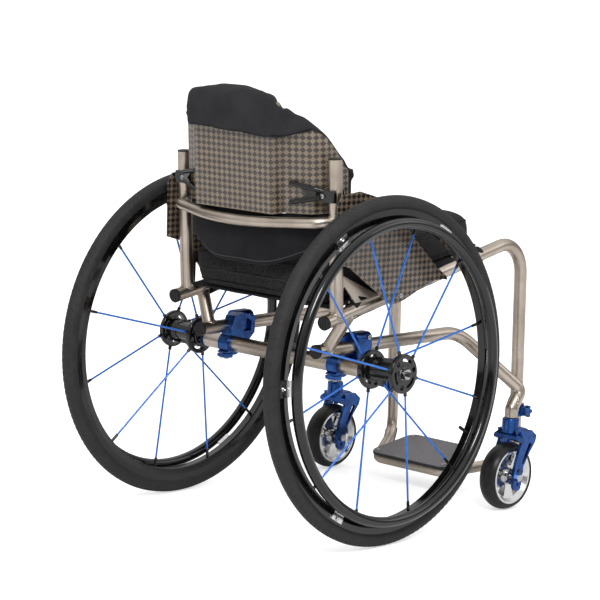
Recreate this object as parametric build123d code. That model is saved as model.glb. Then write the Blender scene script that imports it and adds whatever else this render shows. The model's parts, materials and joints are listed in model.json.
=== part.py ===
from build123d import *
import os
from math import acos, cos, radians, sin, tan

# A rigid-frame manual wheelchair. Millimetres, +Z up, the front faces -Y and the user's left is +X.
# Dimensions are given from the floor point straight below the middle of the rear axle line; the
# finished pieces are then moved so that the origin is the floor point under the middle of the chair.

# ---- rear wheels -------------------------------------------------------------------------------
WHEEL_R = 306.0          # outside radius of the 25 inch tyre
TYRE_R = 14.0            # radius of the tyre's round section
CAMBER = 2.0             # lean of each rear wheel, tops inward, degrees
HALF_TRACK = 247.4       # centre plane of the chair to the hub centre
WHEEL_Z = (WHEEL_R - TYRE_R) * cos(radians(CAMBER)) + TYRE_R
TUBE_HOLLOW_R = 9.0      # radius of the air space inside the tyre
TUBE_RING_R = 294.0      # ring radius of the inner tube
BEAD_R = 279.6           # inside radius of the tyre beads
BEAD_HALF = 7.9          # half the width across the beads
BEAD_GAP_HALF = 5.2      # half the opening between the beads
RIM_TOP_R = 284.8        # outside radius of the rim flanges
RIM_SHOULDER_R = 272.0   # radius where the rim starts to narrow
RIM_INNER_R = 260.0      # inside radius of the rim
RIM_HALF = 10.3          # half the rim width at the flanges
RIM_HALF_INNER = 8.2     # half the rim width at the inside radius
RIM_WALL = 2.2           # rim wall thickness
SPOKES_PER_SIDE = 6
SPOKE_R = 1.8
SPOKE_PHASE_OUTER = -16.3   # angle of the first spoke on the outer flange, degrees
SPOKE_PHASE_INNER = 13.7    # angle of the first spoke on the inner flange, degrees
SPOKE_HUB_R = 29.0       # radius where a spoke starts inside the hub flange
SPOKE_RIM_A = 2.0        # sideways position of a spoke at the rim
SLEEVE_R = 2.7           # black sleeve over the rim end of a spoke
SLEEVE_LENGTH = 17.0     # length of a sleeve inside the rim radius
FERRULE_R = 3.2          # black ferrule at the hub end of a spoke
VALVE_R = 3.0
VALVE_ANGLE = 149.0      # the valve sits between two spokes
FLANGE_R = 34.5          # hub flange radius
FLANGE_A = 35.0          # hub flange centre from the wheel's centre plane
FLANGE_T = 9.0           # hub flange thickness
HUB_WAIST_R = 17.5       # hub barrel radius between the flanges
HUB_BOSS_R = 19.0        # hub barrel radius behind the flanges
HUB_END_A = 41.0         # hub body reaches this far each side
BEARING_R = 14.3         # 1/2 x 1 1/8 inch ball bearing, outside radius
BEARING_T = 7.9
PUSHRIM_RING_R = 259.0   # ring radius of the push rim
PUSHRIM_R = 9.5          # radius of the push rim's tube
PUSHRIM_A = 27.0         # push rim centre outboard of the wheel's centre plane
TAB_COUNT = 6
TAB_SWEEP = 6.0          # angle covered by a push rim tab, degrees

# ---- quick release axles -----------------------------------------------------------------------
AXLE_R = 6.35            # 1/2 inch axle
AXLE_INNER_A = -104.0    # inboard end of the axle, from the wheel's centre plane
AXLE_HEAD_R = 9.5
AXLE_HEAD_A = 46.5       # outboard face of the axle head
AXLE_COLLAR_A = -48.5    # inboard face of the axle's shoulder collar
BUTTON_R = 4.6
BUTTON_TRAVEL = 5.0      # press of the release button
BUTTON_PROUD = 6.0       # button face outboard of the axle head
FIT = 0.05               # running clearance on a radius

# ---- frame -------------------------------------------------------------------------------------
FRAME_TUBE_R = 12.0      # 24 mm titanium tube
FRAME_BORE_R = 10.5      # inside radius of the frame tube
RAIL_REAR = (183.2, 94.5, 390.5)      # rear end of the seat rail
RAIL_CORNER = (155.0, -484.0, 501.5)  # where seat rail and front tube would meet
FRONT_FOOT = (155.0, -497.0, 160.0)   # lower end of the front tube
RAIL_BEND_R = 62.0
LOWER_REAR = (142.5, 67.4, 331.6)     # rear end of the lower rail
LOWER_CORNER = (153.0, -305.0, 334.0)
ELBOW = (220.5, -422.5, 222.5)        # outermost point of the caster arm
ARM_END = (220.5, -395.5, 190.0)      # where the arm meets the caster post
LOWER_BEND_R = 75.0
ELBOW_BEND_R = 16.0
CANE_X = 183.5
CANE_FOOT = (CANE_X, 66.5, 400.0)
CANE_LEAN = 4.5          # back tubes lean to the rear, degrees
CANE_HEIGHT = (272.0, 254.0)          # length above the foot: right tube, left tube
BRACE_TOP = (181.0, 30.0, 400.0)
BRACE_FOOT = (145.0, 44.0, 334.0)
BRACE_R = 11.5
BAR_R = 9.5              # stiffening bar across the back tubes
BAR_POINTS = ((183.5, 78.0, 565.0), (165.6, 110.3, 561.3), (0.0, 161.0, 550.0))
BAR_BEND_R = 30.6
BAR_MIDDLE_BEND_R = 300.0
GUSSET_T = 4.0
POST_R = 12.0            # caster post
POST_BOTTOM = 174.5
POST_BORE_R = 6.03

# ---- casters -----------------------------------------------------------------------------------
CASTER_X = 220.5
CASTER_Y = -395.5        # swivel axis
CASTER_R = 63.5          # 5 inch wheel
CASTER_HALF_WIDTH = 19.0
CASTER_TRAIL = 6.5       # wheel axle behind the swivel axis
CASTER_FACE_R = 54.5     # radius of the tyre's flat side
CASTER_RIM_R = 51.5      # outside radius of the cast wheel
STEM_R = 6.0
HOUSING_R = 16.0
HOUSING_BOTTOM = 146.0
HOUSING_TOP = 173.5
FORK_ARM_A = 25.5        # centre of a fork arm from the wheel's centre plane
FORK_ARM_T = 6.0
FORK_AXLE_R = 4.0
FORK_HOLE_STEP = 13.0    # spacing of the three axle heights
SWIVEL_BEARING_R = 12.0
SWIVEL_BEARING_T = 6.0
CASTER_BEARING_R = 11.0
CASTER_BEARING_T = 7.0

# ---- camber tube and its clamps ----------------------------------------------------------------
CAMBER_TUBE_R = 14.3
CAMBER_TUBE_BORE_R = 12.3
CAMBER_TUBE_Z = 300.5
CAMBER_TUBE_HALF = 190.0
PLUG_INNER = 136.0       # inboard end of a camber plug
PLUG_FLANGE_T = 6.0
CLAMP_X = 134.0          # centre of the collar on the camber tube
CLAMP_COLLAR_R = 20.5
CLAMP_COLLAR_W = 24.0
RAIL_CLAMP_Y = -37.0     # centre of the clamp on the lower rail
RAIL_CLAMP_LENGTH = 38.0

# ---- footrest ----------------------------------------------------------------------------------
FOOT_TUBE_R = FRAME_BORE_R - FIT
FOOT_TUBE_WALL = 1.5
FOOT_INSERT = 110.0      # length of footrest tube inside the front tube
FOOT_BEND_R = 44.0
FOOT_CORNER_Z = 66.6     # where the upright and the loop would meet
LOOP_REAR = (85.0, -377.0, 44.7)
LOOP_BEND_R = 22.0
CLAMP_RING_T = 3.6       # wall of the clamp ring at the foot of the front tube
PLATE_TILT = 10.0        # front edge of the footplate is higher, degrees
PLATE_PIVOT = (0.0, -376.0, 61.0)     # top of the footplate over its rear screws
PLATE_DEPTH = 122.0
PLATE_REAR_HALF = 97.0
PLATE_FRONT_HALF = 86.0
PLATE_T = 4.0
GRIP_T = 1.6
PLATE_SCREW_X = (81.4, 72.0)          # rear pair, front pair

# ---- seat and back -----------------------------------------------------------------------------
SLING_T = 3.0
SLING_REAR_Y = 62.0
SLING_FRONT_Y = -352.0
CUSHION_T = 78.0
CUSHION_HALF = 169.5
CUSHION_REAR_Y = 76.0
CUSHION_FRONT_Y = -352.0
GUARD_X = 205.5          # inner face of a side guard
GUARD_T = 2.4
BACK_Z = 612.8           # level of the clamps on the back tubes
SHELL_T = 3.0
SHELL_BOTTOM = -37.0     # lower edge of the shell below the clamps
PAD_T = 20.0
PAD_GAP = 0.6
# outlines of the back, in the back frame: (X, height) seen from the front, (Y, height) from the
# side, (X, Y) from above
SHELL_TOP = ((0, 172), (50, 166), (96, 154), (120, 133), (150, 108), (166, 91), (184, 47))
SHELL_SLOPE = ((-70, 8), (-52, 33), (-30, 63), (-8, 88), (4, 99), (16, 110), (30, 128), (62, 188))
COVER_TOP = ((0, 185), (50, 179), (96, 167), (120, 146), (150, 121), (166, 104), (184, 60))
COVER_SLOPE = ((-70, 20), (-52, 46), (-30, 76), (-8, 101), (4, 112), (16, 122), (30, 140), (62, 200))
ROLL_OUTER = ((0, 54.5), (60, 49.5), (110, 34), (148, 12), (163, -18))
ROLL_INNER = ((151, -22), (136, 3), (100, 23), (56, 37.5), (0, 42.5))
ROLL_HEM = ((0, -136), (60, -136), (85, -130), (110, -120), (130, -111), (150, -108), (172, -108))
CLAMP_DROP = 4.0         # the clamp blocks sit this far below the fingers' middle
CLAMP_BLOCK_H = 21.0
CLAMP_SCREW_X = 170.0
FINGER_ROOT = (158.0, 24.6, 0.0)      # bend of a clamp finger beside the shell's corner
FINGER_TIP = (116.5, 39.5)


def vec(p):
    return Vector(p[0], p[1], p[2])


def on_side(p, side):
    """The point mirrored to the left (+1) or right (-1) of the chair."""
    return (side * p[0], p[1], p[2])


def bent_path(points, bends):
    """A line through the points with an arc of the given radius at every inner corner."""
    pts = [vec(p) for p in points]
    edges = []
    start = pts[0]
    for k in range(1, len(pts) - 1):
        back = (pts[k - 1] - pts[k]).normalized()
        ahead = (pts[k + 1] - pts[k]).normalized()
        half = acos(back.dot(ahead)) / 2
        run = bends[k - 1] / tan(half)
        middle = (back + ahead).normalized() * (bends[k - 1] / sin(half) - bends[k - 1])
        entry = pts[k] + back * run
        leave = pts[k] + ahead * run
        edges.append(Line(start, entry))
        edges.append(ThreePointArc(entry, pts[k] + middle, leave))
        start = leave
    edges.append(Line(start, pts[-1]))
    return Wire(edges)


def swept(points, bends, radius):
    """A round bar that follows a bent path."""
    path = bent_path(points, bends)
    section = Plane(path @ 0, z_dir=path % 0) * Circle(radius)
    return sweep(section, path=path)


def rod(start, end, radius):
    """A straight round bar between two points."""
    a = vec(start)
    b = vec(end)
    length = (b - a).length
    return Plane(a, z_dir=b - a) * Cylinder(radius, length, align=(Align.CENTER, Align.CENTER, Align.MIN))


def disc(radius, low, high):
    """A round slab about the local Z axis between two heights."""
    return Pos(0, 0, low) * Cylinder(radius, high - low, align=(Align.CENTER, Align.CENTER, Align.MIN))


def ring(outer, inner, low, high):
    return disc(outer, low, high) - disc(inner, low - 1, high + 1)


def along(a, b, distance):
    """The point a given distance from a towards b."""
    p = vec(a)
    return tuple(p + (vec(b) - p).normalized() * distance)


def group(shapes):
    return Compound(children=[s for shape in shapes for s in shape.solids()])


# ---- places ------------------------------------------------------------------------------------
def wheel_place(side):
    """Rear wheel frame: Z points outboard along the axle, X points to the rear."""
    c = radians(CAMBER)
    return Plane((side * HALF_TRACK, 0, WHEEL_Z), x_dir=(0, 1, 0), z_dir=(side * cos(c), 0, sin(c)))


def back_place():
    """Back frame: Z rises along the back tubes, Y points to the rear."""
    lean = radians(CANE_LEAN)
    y = CANE_FOOT[1] + (BACK_Z - CANE_FOOT[2]) * tan(lean)
    return Plane((0, y, BACK_Z), x_dir=(1, 0, 0), z_dir=(0, sin(lean), cos(lean)))


def plate_place():
    """Footplate frame: Z is square to the plate, Y points to the rear."""
    tilt = radians(PLATE_TILT)
    return Plane(PLATE_PIVOT, x_dir=(1, 0, 0), z_dir=(0, sin(tilt), cos(tilt)))


def seat_place():
    """Seat frame: the XY plane holds both seat rail axes, Y points to the rear, origin at Y = 0."""
    rise = (RAIL_CORNER[2] - RAIL_REAR[2]) / (RAIL_REAR[1] - RAIL_CORNER[1])
    height = RAIL_REAR[2] + rise * RAIL_REAR[1]
    return Plane((0, 0, height), x_dir=(1, 0, 0), z_dir=(0, rise, 1))


def revolved(face):
    """A face drawn with X as radius and Y as axial position, turned about the local Z axis."""
    return revolve(Plane.XZ * face, axis=Axis.Z)


# ---- rear wheel pieces, in the wheel frame -----------------------------------------------------
def spoke_line(phase, k, a):
    """Start and end of one spoke; a is the sideways position of its hub flange."""
    turn = radians(phase + k * 360 / SPOKES_PER_SIDE)
    rim_a = SPOKE_RIM_A if a > 0 else -SPOKE_RIM_A
    start = (SPOKE_HUB_R * cos(turn), SPOKE_HUB_R * sin(turn), a)
    end = ((RIM_INNER_R + 1.4) * cos(turn), (RIM_INNER_R + 1.4) * sin(turn), rim_a)
    return start, end


def spoke_lines():
    lines = [spoke_line(SPOKE_PHASE_OUTER, k, FLANGE_A) for k in range(SPOKES_PER_SIDE)]
    return lines + [spoke_line(SPOKE_PHASE_INNER, k, -FLANGE_A) for k in range(SPOKES_PER_SIDE)]


def spokes():
    return group([rod(a, b, SPOKE_R) for a, b in spoke_lines()])


def spoke_fittings():
    """Black sleeves at the rim and ferrules at the hub, bored for the spokes."""
    pieces = []
    for a, b in spoke_lines():
        bore = rod(a, b, SPOKE_R + 0.02)
        pieces.append(rod(along(b, a, SLEEVE_LENGTH + 1.2), b, SLEEVE_R) - bore)
        pieces.append(rod(along(a, b, 2.5), along(a, b, 12.0), FERRULE_R) - bore)
    return group(pieces)


def tyre():
    tread = Pos(WHEEL_R - TYRE_R, 0) * Circle(TYRE_R)
    tread -= Pos(BEAD_R, 0) * Rectangle(2 * (RIM_TOP_R + 1.2 - BEAD_R), 60)
    bead = Pos((BEAD_R + 287.5) / 2, 0) * Rectangle(287.5 - BEAD_R, 2 * BEAD_HALF)
    hollow = Pos(TUBE_RING_R, 0) * Circle(TUBE_HOLLOW_R)
    opening = Pos(BEAD_R + 4, 0) * Rectangle(9, 2 * BEAD_GAP_HALF)
    return revolved(tread + bead - hollow - opening)


def valve_rod(radius):
    turn = radians(VALVE_ANGLE)
    inner = RIM_INNER_R - 22
    outer = TUBE_RING_R - TUBE_HOLLOW_R - 0.1
    return rod((outer * cos(turn), outer * sin(turn), 0), (inner * cos(turn), inner * sin(turn), 0), radius)


def inner_tube():
    return group([Torus(TUBE_RING_R, TUBE_HOLLOW_R - FIT), valve_rod(VALVE_R)])


def rim():
    half = [(RIM_INNER_R, RIM_HALF_INNER), (RIM_SHOULDER_R, RIM_HALF), (RIM_TOP_R, RIM_HALF)]
    outline = half + [(r, -a) for r, a in reversed(half)]
    section = make_face(Polyline(outline, close=True))
    section = fillet(section.vertices().group_by(Axis.X)[0], 2.5)
    channel_floor = BEAD_R - 0.1
    channel = Pos((channel_floor + 290) / 2, 0) * Rectangle(290 - channel_floor, 2 * (BEAD_HALF + 0.1))
    box_low = RIM_INNER_R + RIM_WALL
    box_high = channel_floor - RIM_WALL
    box = Pos((box_low + box_high) / 2, 0) * Rectangle(box_high - box_low, 2 * (RIM_HALF_INNER - RIM_WALL))
    body = revolved(section - channel - box)
    for a, b in spoke_lines():
        body -= rod(along(b, a, 6.0), b, SLEEVE_R + 0.03)
    return body - valve_rod(VALVE_R + FIT)


def kidney(radius, width, start, sweep_deg):
    """A curved slot about the local Z axis, as a flat face."""
    a = radians(start)
    m = radians(start + sweep_deg / 2)
    b = radians(start + sweep_deg)
    arc = ThreePointArc(
        (radius * cos(a), radius * sin(a)),
        (radius * cos(m), radius * sin(m)),
        (radius * cos(b), radius * sin(b)),
    )
    return SlotArc(arc, width)


def hub_flange(a, phase):
    """One flange: three curved windows and three round holes between the spokes."""
    low = a - FLANGE_T / 2
    body = disc(FLANGE_R, low, low + FLANGE_T)
    body = fillet(body.edges().filter_by(GeomType.CIRCLE), 2.5)
    cut = Sketch()
    for k in range(3):
        cut += kidney(24.4, 5.4, phase + 7 + 120 * k, 46)
        cut += Rot(0, 0, phase + 90 + 120 * k) * (Pos(24.6, 0) * Circle(4.6))
    return body - extrude(Pos(0, 0, low - 1) * cut, FLANGE_T + 2)


def hub():
    profile = [
        (0, -HUB_END_A), (HUB_BOSS_R - 2.5, -HUB_END_A), (HUB_BOSS_R, -HUB_END_A + 2.5),
        (HUB_BOSS_R, -24), (HUB_WAIST_R - 1, -16), (HUB_WAIST_R - 1, 16), (HUB_BOSS_R, 24),
        (HUB_BOSS_R, HUB_END_A - 2.5), (HUB_BOSS_R - 2.5, HUB_END_A), (0, HUB_END_A),
    ]
    body = revolved(make_face(Polyline(profile, close=True)))
    for k in range(3):
        rib = Pos(HUB_WAIST_R + 1, 0, 0) * Box(9, 6, 2 * FLANGE_A - 6)
        body += Rot(0, 0, SPOKE_PHASE_OUTER + 45 + 120 * k) * rib
    body += hub_flange(FLANGE_A, SPOKE_PHASE_OUTER)
    body += hub_flange(-FLANGE_A, SPOKE_PHASE_INNER)
    body -= disc(AXLE_R + 1.6, -HUB_END_A - 1, HUB_END_A + 1)
    for side in (1, -1):
        seat = side * (HUB_END_A - 4.0 - BEARING_T / 2)
        body -= disc(BEARING_R + 0.01, seat - BEARING_T / 2, seat + BEARING_T / 2)
        low = seat if side > 0 else -HUB_END_A - 1
        high = HUB_END_A + 1 if side > 0 else seat
        body -= disc(11.5, low, high)
    for a, b in spoke_lines():
        body -= rod(a, along(a, b, 12.5), FERRULE_R + 0.03)
    return body


def ball_bearing(outer, inner, thickness, middle):
    """Two races and a shield between them, as one closed cartridge."""
    body = ring(outer, inner, middle - thickness / 2, middle + thickness / 2)
    race = (outer - inner) * 0.28
    for z in (middle - thickness / 2, middle + thickness / 2):
        body -= ring(outer - race, inner + race, z - 0.4, z + 0.4)
    return body


def hub_bearings():
    seat = HUB_END_A - 4.0 - BEARING_T / 2
    return group([ball_bearing(BEARING_R, AXLE_R + FIT, BEARING_T - 0.04, s * seat) for s in (1, -1)])


def pushrim():
    section = Pos(PUSHRIM_RING_R, PUSHRIM_A) * (Circle(PUSHRIM_R) - Circle(PUSHRIM_R - 1.6))
    return revolved(section)


def pushrim_tab(turn):
    """A folded tab from the side of the rim to the push rim, and its bolt."""
    foot_a = RIM_HALF + 0.1
    outline = [
        (RIM_SHOULDER_R + 7, foot_a), (RIM_SHOULDER_R + 7, foot_a + 2.2), (266.4, foot_a + 2.2),
        (261.0, PUSHRIM_A), (257.0, PUSHRIM_A), (262.4, foot_a),
    ]
    band = make_face(Polyline(outline, close=True))
    strip = revolve(Plane.XZ * band, axis=Axis.Z, revolution_arc=TAB_SWEEP)
    strip -= revolved(Pos(PUSHRIM_RING_R, PUSHRIM_A) * Circle(PUSHRIM_R + 0.02))
    strip = Rot(0, 0, turn - TAB_SWEEP / 2) * strip
    return strip


def pushrim_tabs():
    pieces = []
    for k in range(TAB_COUNT):
        turn = k * 360 / TAB_COUNT
        tab = pushrim_tab(turn)
        pieces.append(max(tab.solids(), key=lambda s: s.volume))
        bolt = Pos(RIM_SHOULDER_R + 2.6, 0, 0) * disc(3.6, RIM_HALF + 2.32, RIM_HALF + 4.6)
        bolt -= Pos(RIM_SHOULDER_R + 2.6, 0, 0) * extrude(
            Pos(0, 0, RIM_HALF + 3.2) * RegularPolygon(1.7, 6), 5
        )
        pieces.append(Rot(0, 0, turn) * bolt)
    return group(pieces)


# ---- quick release axle, in the wheel frame ----------------------------------------------------
def quick_release_axle():
    body = disc(AXLE_R, AXLE_INNER_A, HUB_END_A)
    body += disc(AXLE_R + 2.6, AXLE_COLLAR_A, -HUB_END_A + 4.0 - 0.05)
    body += disc(AXLE_R + 2.6, HUB_END_A - 4.0 + 0.05, HUB_END_A + 0.5)
    body += disc(AXLE_HEAD_R, HUB_END_A + 0.5, AXLE_HEAD_A)
    flats = Pos(0, 0, HUB_END_A + 0.5) * extrude(RegularPolygon(AXLE_HEAD_R + 0.6, 6), AXLE_HEAD_A)
    keep = disc(AXLE_R + 2.7, AXLE_INNER_A - 1, HUB_END_A + 0.5)
    body = body & (flats + keep)
    nose = body.edges().filter_by(GeomType.CIRCLE).group_by(Axis.Z)[0]
    body = chamfer(nose, 1.5)
    body -= disc(BUTTON_R + FIT, AXLE_HEAD_A - BUTTON_TRAVEL - 6, AXLE_HEAD_A + 1)
    return body - disc(2.6, AXLE_INNER_A + 8, AXLE_HEAD_A)


def release_button():
    low = AXLE_HEAD_A - 5.5
    body = disc(BUTTON_R, low, AXLE_HEAD_A + BUTTON_PROUD)
    rim_edges = body.edges().filter_by(GeomType.CIRCLE).group_by(Axis.Z)[-1]
    body = fillet(rim_edges, 1.4)
    return body + disc(2.6 - FIT, AXLE_INNER_A + 8 + BUTTON_TRAVEL + 1, low)


# ---- frame -------------------------------------------------------------------------------------
def past(a, b, distance):
    """The point b moved further away from a."""
    p = vec(b)
    return tuple(p + (p - vec(a)).normalized() * distance)


def cane_top(side, inset=0.0):
    """Top of a back tube; the two tubes stand at slightly different heights."""
    height = CANE_HEIGHT[0] if side < 0 else CANE_HEIGHT[1]
    lean = radians(CANE_LEAN)
    foot = CANE_FOOT
    top = (foot[0], foot[1] + (height - inset) * sin(lean), foot[2] + (height - inset) * cos(lean))
    return on_side(top, side)


def gusset():
    """Plate in the corner between back tube and seat rail, with two triangular windows."""
    outline = make_face(Polyline([(70, 398), (70, 470), (56, 470), (-50, 425), (-50, 412)], close=True))
    large = make_face(Polyline([(51, 452), (51, 408), (14, 414)], close=True))
    small = make_face(Polyline([(14, 431), (3, 421), (-19, 425)], close=True))
    plate = outline - fillet(large.vertices(), 2) - fillet(small.vertices(), 1.2)
    return Pos(181 - GUSSET_T / 2, 0, 0) * extrude(Plane.YZ * plate, GUSSET_T)


def guard_posts():
    """Threaded posts on the seat rail that carry a side guard: (y, z) and start x."""
    return (((-72.0, 428.0), 180.0), ((-150.0, 446.0), 172.0))


def side_frame():
    """The left half of the welded frame without its back tube."""
    body = swept([RAIL_REAR, RAIL_CORNER, FRONT_FOOT], [RAIL_BEND_R], FRAME_TUBE_R)
    body += swept([LOWER_REAR, LOWER_CORNER, ELBOW, ARM_END], [LOWER_BEND_R, ELBOW_BEND_R], FRAME_TUBE_R)
    body += rod(BRACE_TOP, BRACE_FOOT, BRACE_R)
    body += gusset()
    for (y, z), x in guard_posts():
        body += rod((x, y, z), (GUARD_X - FIT, y, z), 5.0)
    body += Pos(CASTER_X, CASTER_Y, 0) * disc(POST_R, POST_BOTTOM, ARM_END[2])
    return body + Pos(*ARM_END) * Sphere(POST_R)


def side_bores():
    """Everything that is hollow in the left half of the frame."""
    rail_start = past(RAIL_CORNER, RAIL_REAR, 1)
    rail_end = past(RAIL_CORNER, FRONT_FOOT, 1)
    lower_end = along(ELBOW, LOWER_CORNER, 30)
    bores = [
        swept([rail_start, RAIL_CORNER, rail_end], [RAIL_BEND_R], FRAME_BORE_R),
        swept([past(LOWER_CORNER, LOWER_REAR, 1), LOWER_CORNER, lower_end], [LOWER_BEND_R], FRAME_BORE_R),
        Pos(CASTER_X, CASTER_Y, 0) * disc(POST_BORE_R, POST_BOTTOM - 1, ARM_END[2] + 6),
        rod((CASTER_X, CASTER_Y + 5, 184), (CASTER_X, CASTER_Y + POST_R + 1, 184), 2.2),
    ]
    for (y, z), x in guard_posts():
        bores.append(rod((GUARD_X - 10, y, z), (GUARD_X + 1, y, z), 2.5))
    return bores


def frame_weldment():
    half = side_frame()
    body = half + mirror(half, about=Plane.YZ)
    for side in (1, -1):
        body += rod(on_side(CANE_FOOT, side), cane_top(side), FRAME_TUBE_R)
    a, b, c = BAR_POINTS
    bar = [a, b, c, on_side(b, -1), on_side(a, -1)]
    body += swept(bar, [BAR_BEND_R, BAR_MIDDLE_BEND_R, BAR_BEND_R], BAR_R)
    for bore in side_bores():
        body -= bore
        body -= mirror(bore, about=Plane.YZ)
    for side in (1, -1):
        low = on_side(CANE_FOOT, side)
        body -= rod(along(low, cane_top(side), 16), cane_top(side, -1), FRAME_BORE_R)
    return max(body.solids(), key=lambda s: s.volume)


def end_plug(end, inner, cap_r, cap_t):
    """A push-in plug at the open end of a tube, with a domed ribbed cap."""
    axis = vec(end) - vec(inner)
    cap = disc(cap_r, 0.05, cap_t)
    cap = fillet(cap.edges().filter_by(GeomType.CIRCLE).group_by(Axis.Z)[-1], min(2.0, cap_t * 0.45))
    for k in range(3):
        if cap_t > 3:
            cap -= Pos(0, (k - 1) * 5.5, cap_t) * Box(2 * cap_r, 1.6, 1.4)
    cap += disc(FRAME_BORE_R - 0.03, -14, 0.05)
    return Plane(end, z_dir=axis) * cap


def rail_end_caps():
    caps = []
    for side in (1, -1):
        caps.append(end_plug(on_side(RAIL_REAR, side), on_side(RAIL_CORNER, side), FRAME_TUBE_R + 0.6, 7.0))
        caps.append(end_plug(on_side(LOWER_REAR, side), on_side(LOWER_CORNER, side), FRAME_TUBE_R + 0.6, 7.0))
    return group(caps)


def cane_caps():
    return group([end_plug(cane_top(s), on_side(CANE_FOOT, s), FRAME_TUBE_R, 2.0) for s in (1, -1)])


# ---- camber tube and clamps --------------------------------------------------------------------
def lower_rail_at(y):
    """Centre of the straight part of the left lower rail at a given Y."""
    t = (LOWER_REAR[1] - y) / (LOWER_REAR[1] - LOWER_CORNER[1])
    return tuple(LOWER_REAR[k] + t * (LOWER_CORNER[k] - LOWER_REAR[k]) for k in range(3))


def camber_tube():
    a = (-CAMBER_TUBE_HALF, 0, CAMBER_TUBE_Z)
    b = (CAMBER_TUBE_HALF, 0, CAMBER_TUBE_Z)
    return rod(a, b, CAMBER_TUBE_R) - rod(past(b, a, 1), past(a, b, 1), CAMBER_TUBE_BORE_R)


def camber_plug(side):
    """Aluminium plug in the end of the camber tube, bored at the camber angle for the axle."""
    z = CAMBER_TUBE_Z
    edge = side * CAMBER_TUBE_HALF
    body = rod((side * PLUG_INNER, 0, z), (edge, 0, z), CAMBER_TUBE_BORE_R - 0.03)
    body += rod((edge + side * FIT, 0, z), (edge + side * PLUG_FLANGE_T, 0, z), CAMBER_TUBE_R)
    body += rod((edge - side, 0, z), (edge + side, 0, z), CAMBER_TUBE_BORE_R - 0.03)
    return body - wheel_place(side).location * disc(AXLE_R + FIT, -150, -20)


def camber_plugs():
    return group([camber_plug(1), camber_plug(-1)])


def rail_clamp_block():
    x, y, z = lower_rail_at(RAIL_CLAMP_Y)
    block = Box(34, RAIL_CLAMP_LENGTH, 52)
    block = fillet(block.edges().filter_by(Axis.Y), 11)
    return Pos(x, y, z) * fillet(block.edges().group_by(Axis.Y)[0] + block.edges().group_by(Axis.Y)[-1], 2)


def clamp_bolt_points():
    """Bolts that close the rail clamp, above and below the rail."""
    x, y, z = lower_rail_at(RAIL_CLAMP_Y)
    return ((x, y - 8, z + 17.5), (x, y - 8, z - 17.5))


def rail_clearance():
    return rod(lower_rail_at(60), lower_rail_at(-200), FRAME_TUBE_R + 0.03)


def axle_clamp():
    """Left clamp: a collar on the camber tube and the inboard half of the clamp on the lower rail."""
    x, y, z = lower_rail_at(RAIL_CLAMP_Y)
    w = CLAMP_COLLAR_W / 2
    body = rod((CLAMP_X - w, 0, CAMBER_TUBE_Z), (CLAMP_X + w, 0, CAMBER_TUBE_Z), CLAMP_COLLAR_R)
    corners = [(13, 318), (2, 352), (-20, 357), (-52, 348), (-52, 318), (-18, 287)]
    web = make_face(Polyline(corners, close=True))
    window = make_face(Polyline([(-20, 322), (-30, 348), (-43, 340), (-42, 322)], close=True))
    web = fillet(web.vertices(), 5)
    inner = CLAMP_X - w
    body += Pos(inner, 0, 0) * extrude(Plane.YZ * web, x - inner - 0.6)
    half = rail_clamp_block() & Pos(x - 50.6, y, z) * Box(100, 90, 90)
    body += half
    body -= Pos(inner - 1, 0, 0) * extrude(Plane.YZ * fillet(window.vertices(), 3), 8)
    lug = Pos(CLAMP_X, 12, CAMBER_TUBE_Z - 19) * Box(CLAMP_COLLAR_W, 17, 12)
    body += fillet(lug.edges().filter_by(Axis.X), 3)
    body -= rod((0, 0, CAMBER_TUBE_Z), (250, 0, CAMBER_TUBE_Z), CAMBER_TUBE_R + 0.03)
    body -= rail_clearance()
    body -= Pos(CLAMP_X, 16, CAMBER_TUBE_Z - 17) * Box(60, 22, 1.6)
    for bx in (-6, 6):
        body -= Pos(CLAMP_X + bx, 14.5, 0) * disc(2.55, CAMBER_TUBE_Z - 30, CAMBER_TUBE_Z - 8)
    for bx, by, bz in clamp_bolt_points():
        body -= rod((bx - 30, by, bz), (bx + 30, by, bz), 2.55)
    return max(body.solids(), key=lambda s: s.volume)


def axle_clamp_cap():
    """The outboard half of the clamp on the lower rail."""
    x, y, z = lower_rail_at(RAIL_CLAMP_Y)
    body = rail_clamp_block() & Pos(x + 50.6, y, z) * Box(100, 90, 90)
    body -= rail_clearance()
    for bx, by, bz in clamp_bolt_points():
        body -= rod((bx - 30, by, bz), (bx + 30, by, bz), 2.55)
    return max(body.solids(), key=lambda s: s.volume)


def cap_screw(base, tip, shank, length_head=3.0):
    """A socket head screw whose head rests at base and whose shank reaches tip."""
    length = (vec(tip) - vec(base)).length
    body = disc(shank, 0, length) + disc(shank * 1.75, -length_head, 0)
    body -= extrude(Pos(0, 0, -length_head) * RegularPolygon(shank * 0.9, 6), length_head * 0.6)
    return Plane(base, z_dir=vec(tip) - vec(base)) * body


def both(shape):
    return group([shape, mirror(shape, about=Plane.YZ)])


def clamp_bolts():
    """Screws of the axle clamps and of the footrest clamps, left and right."""
    pieces = []
    for bx, by, bz in clamp_bolt_points():
        pieces.append(cap_screw((bx + 17.1, by, bz), (bx - 15, by, bz), 2.5))
    for bx in (-6, 6):
        base = (CLAMP_X + bx, 14.5, CAMBER_TUBE_Z - 25.1)
        pieces.append(cap_screw(base, (CLAMP_X + bx, 14.5, CAMBER_TUBE_Z - 17.9), 2.5, 1.8))
    return both(group(pieces))


# ---- footrest ----------------------------------------------------------------------------------
def front_tube_at(z):
    """Centre of the left front tube, or of its downward extension, at a given height."""
    t = (RAIL_CORNER[2] - z) / (RAIL_CORNER[2] - FRONT_FOOT[2])
    return tuple(RAIL_CORNER[k] + t * (FRONT_FOOT[k] - RAIL_CORNER[k]) for k in range(3))


def footrest_path(side=1):
    corner = front_tube_at(FOOT_CORNER_Z)
    top = past(corner, FRONT_FOOT, FOOT_INSERT)
    return [on_side(p, side) for p in (top, corner, LOOP_REAR)]


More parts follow.
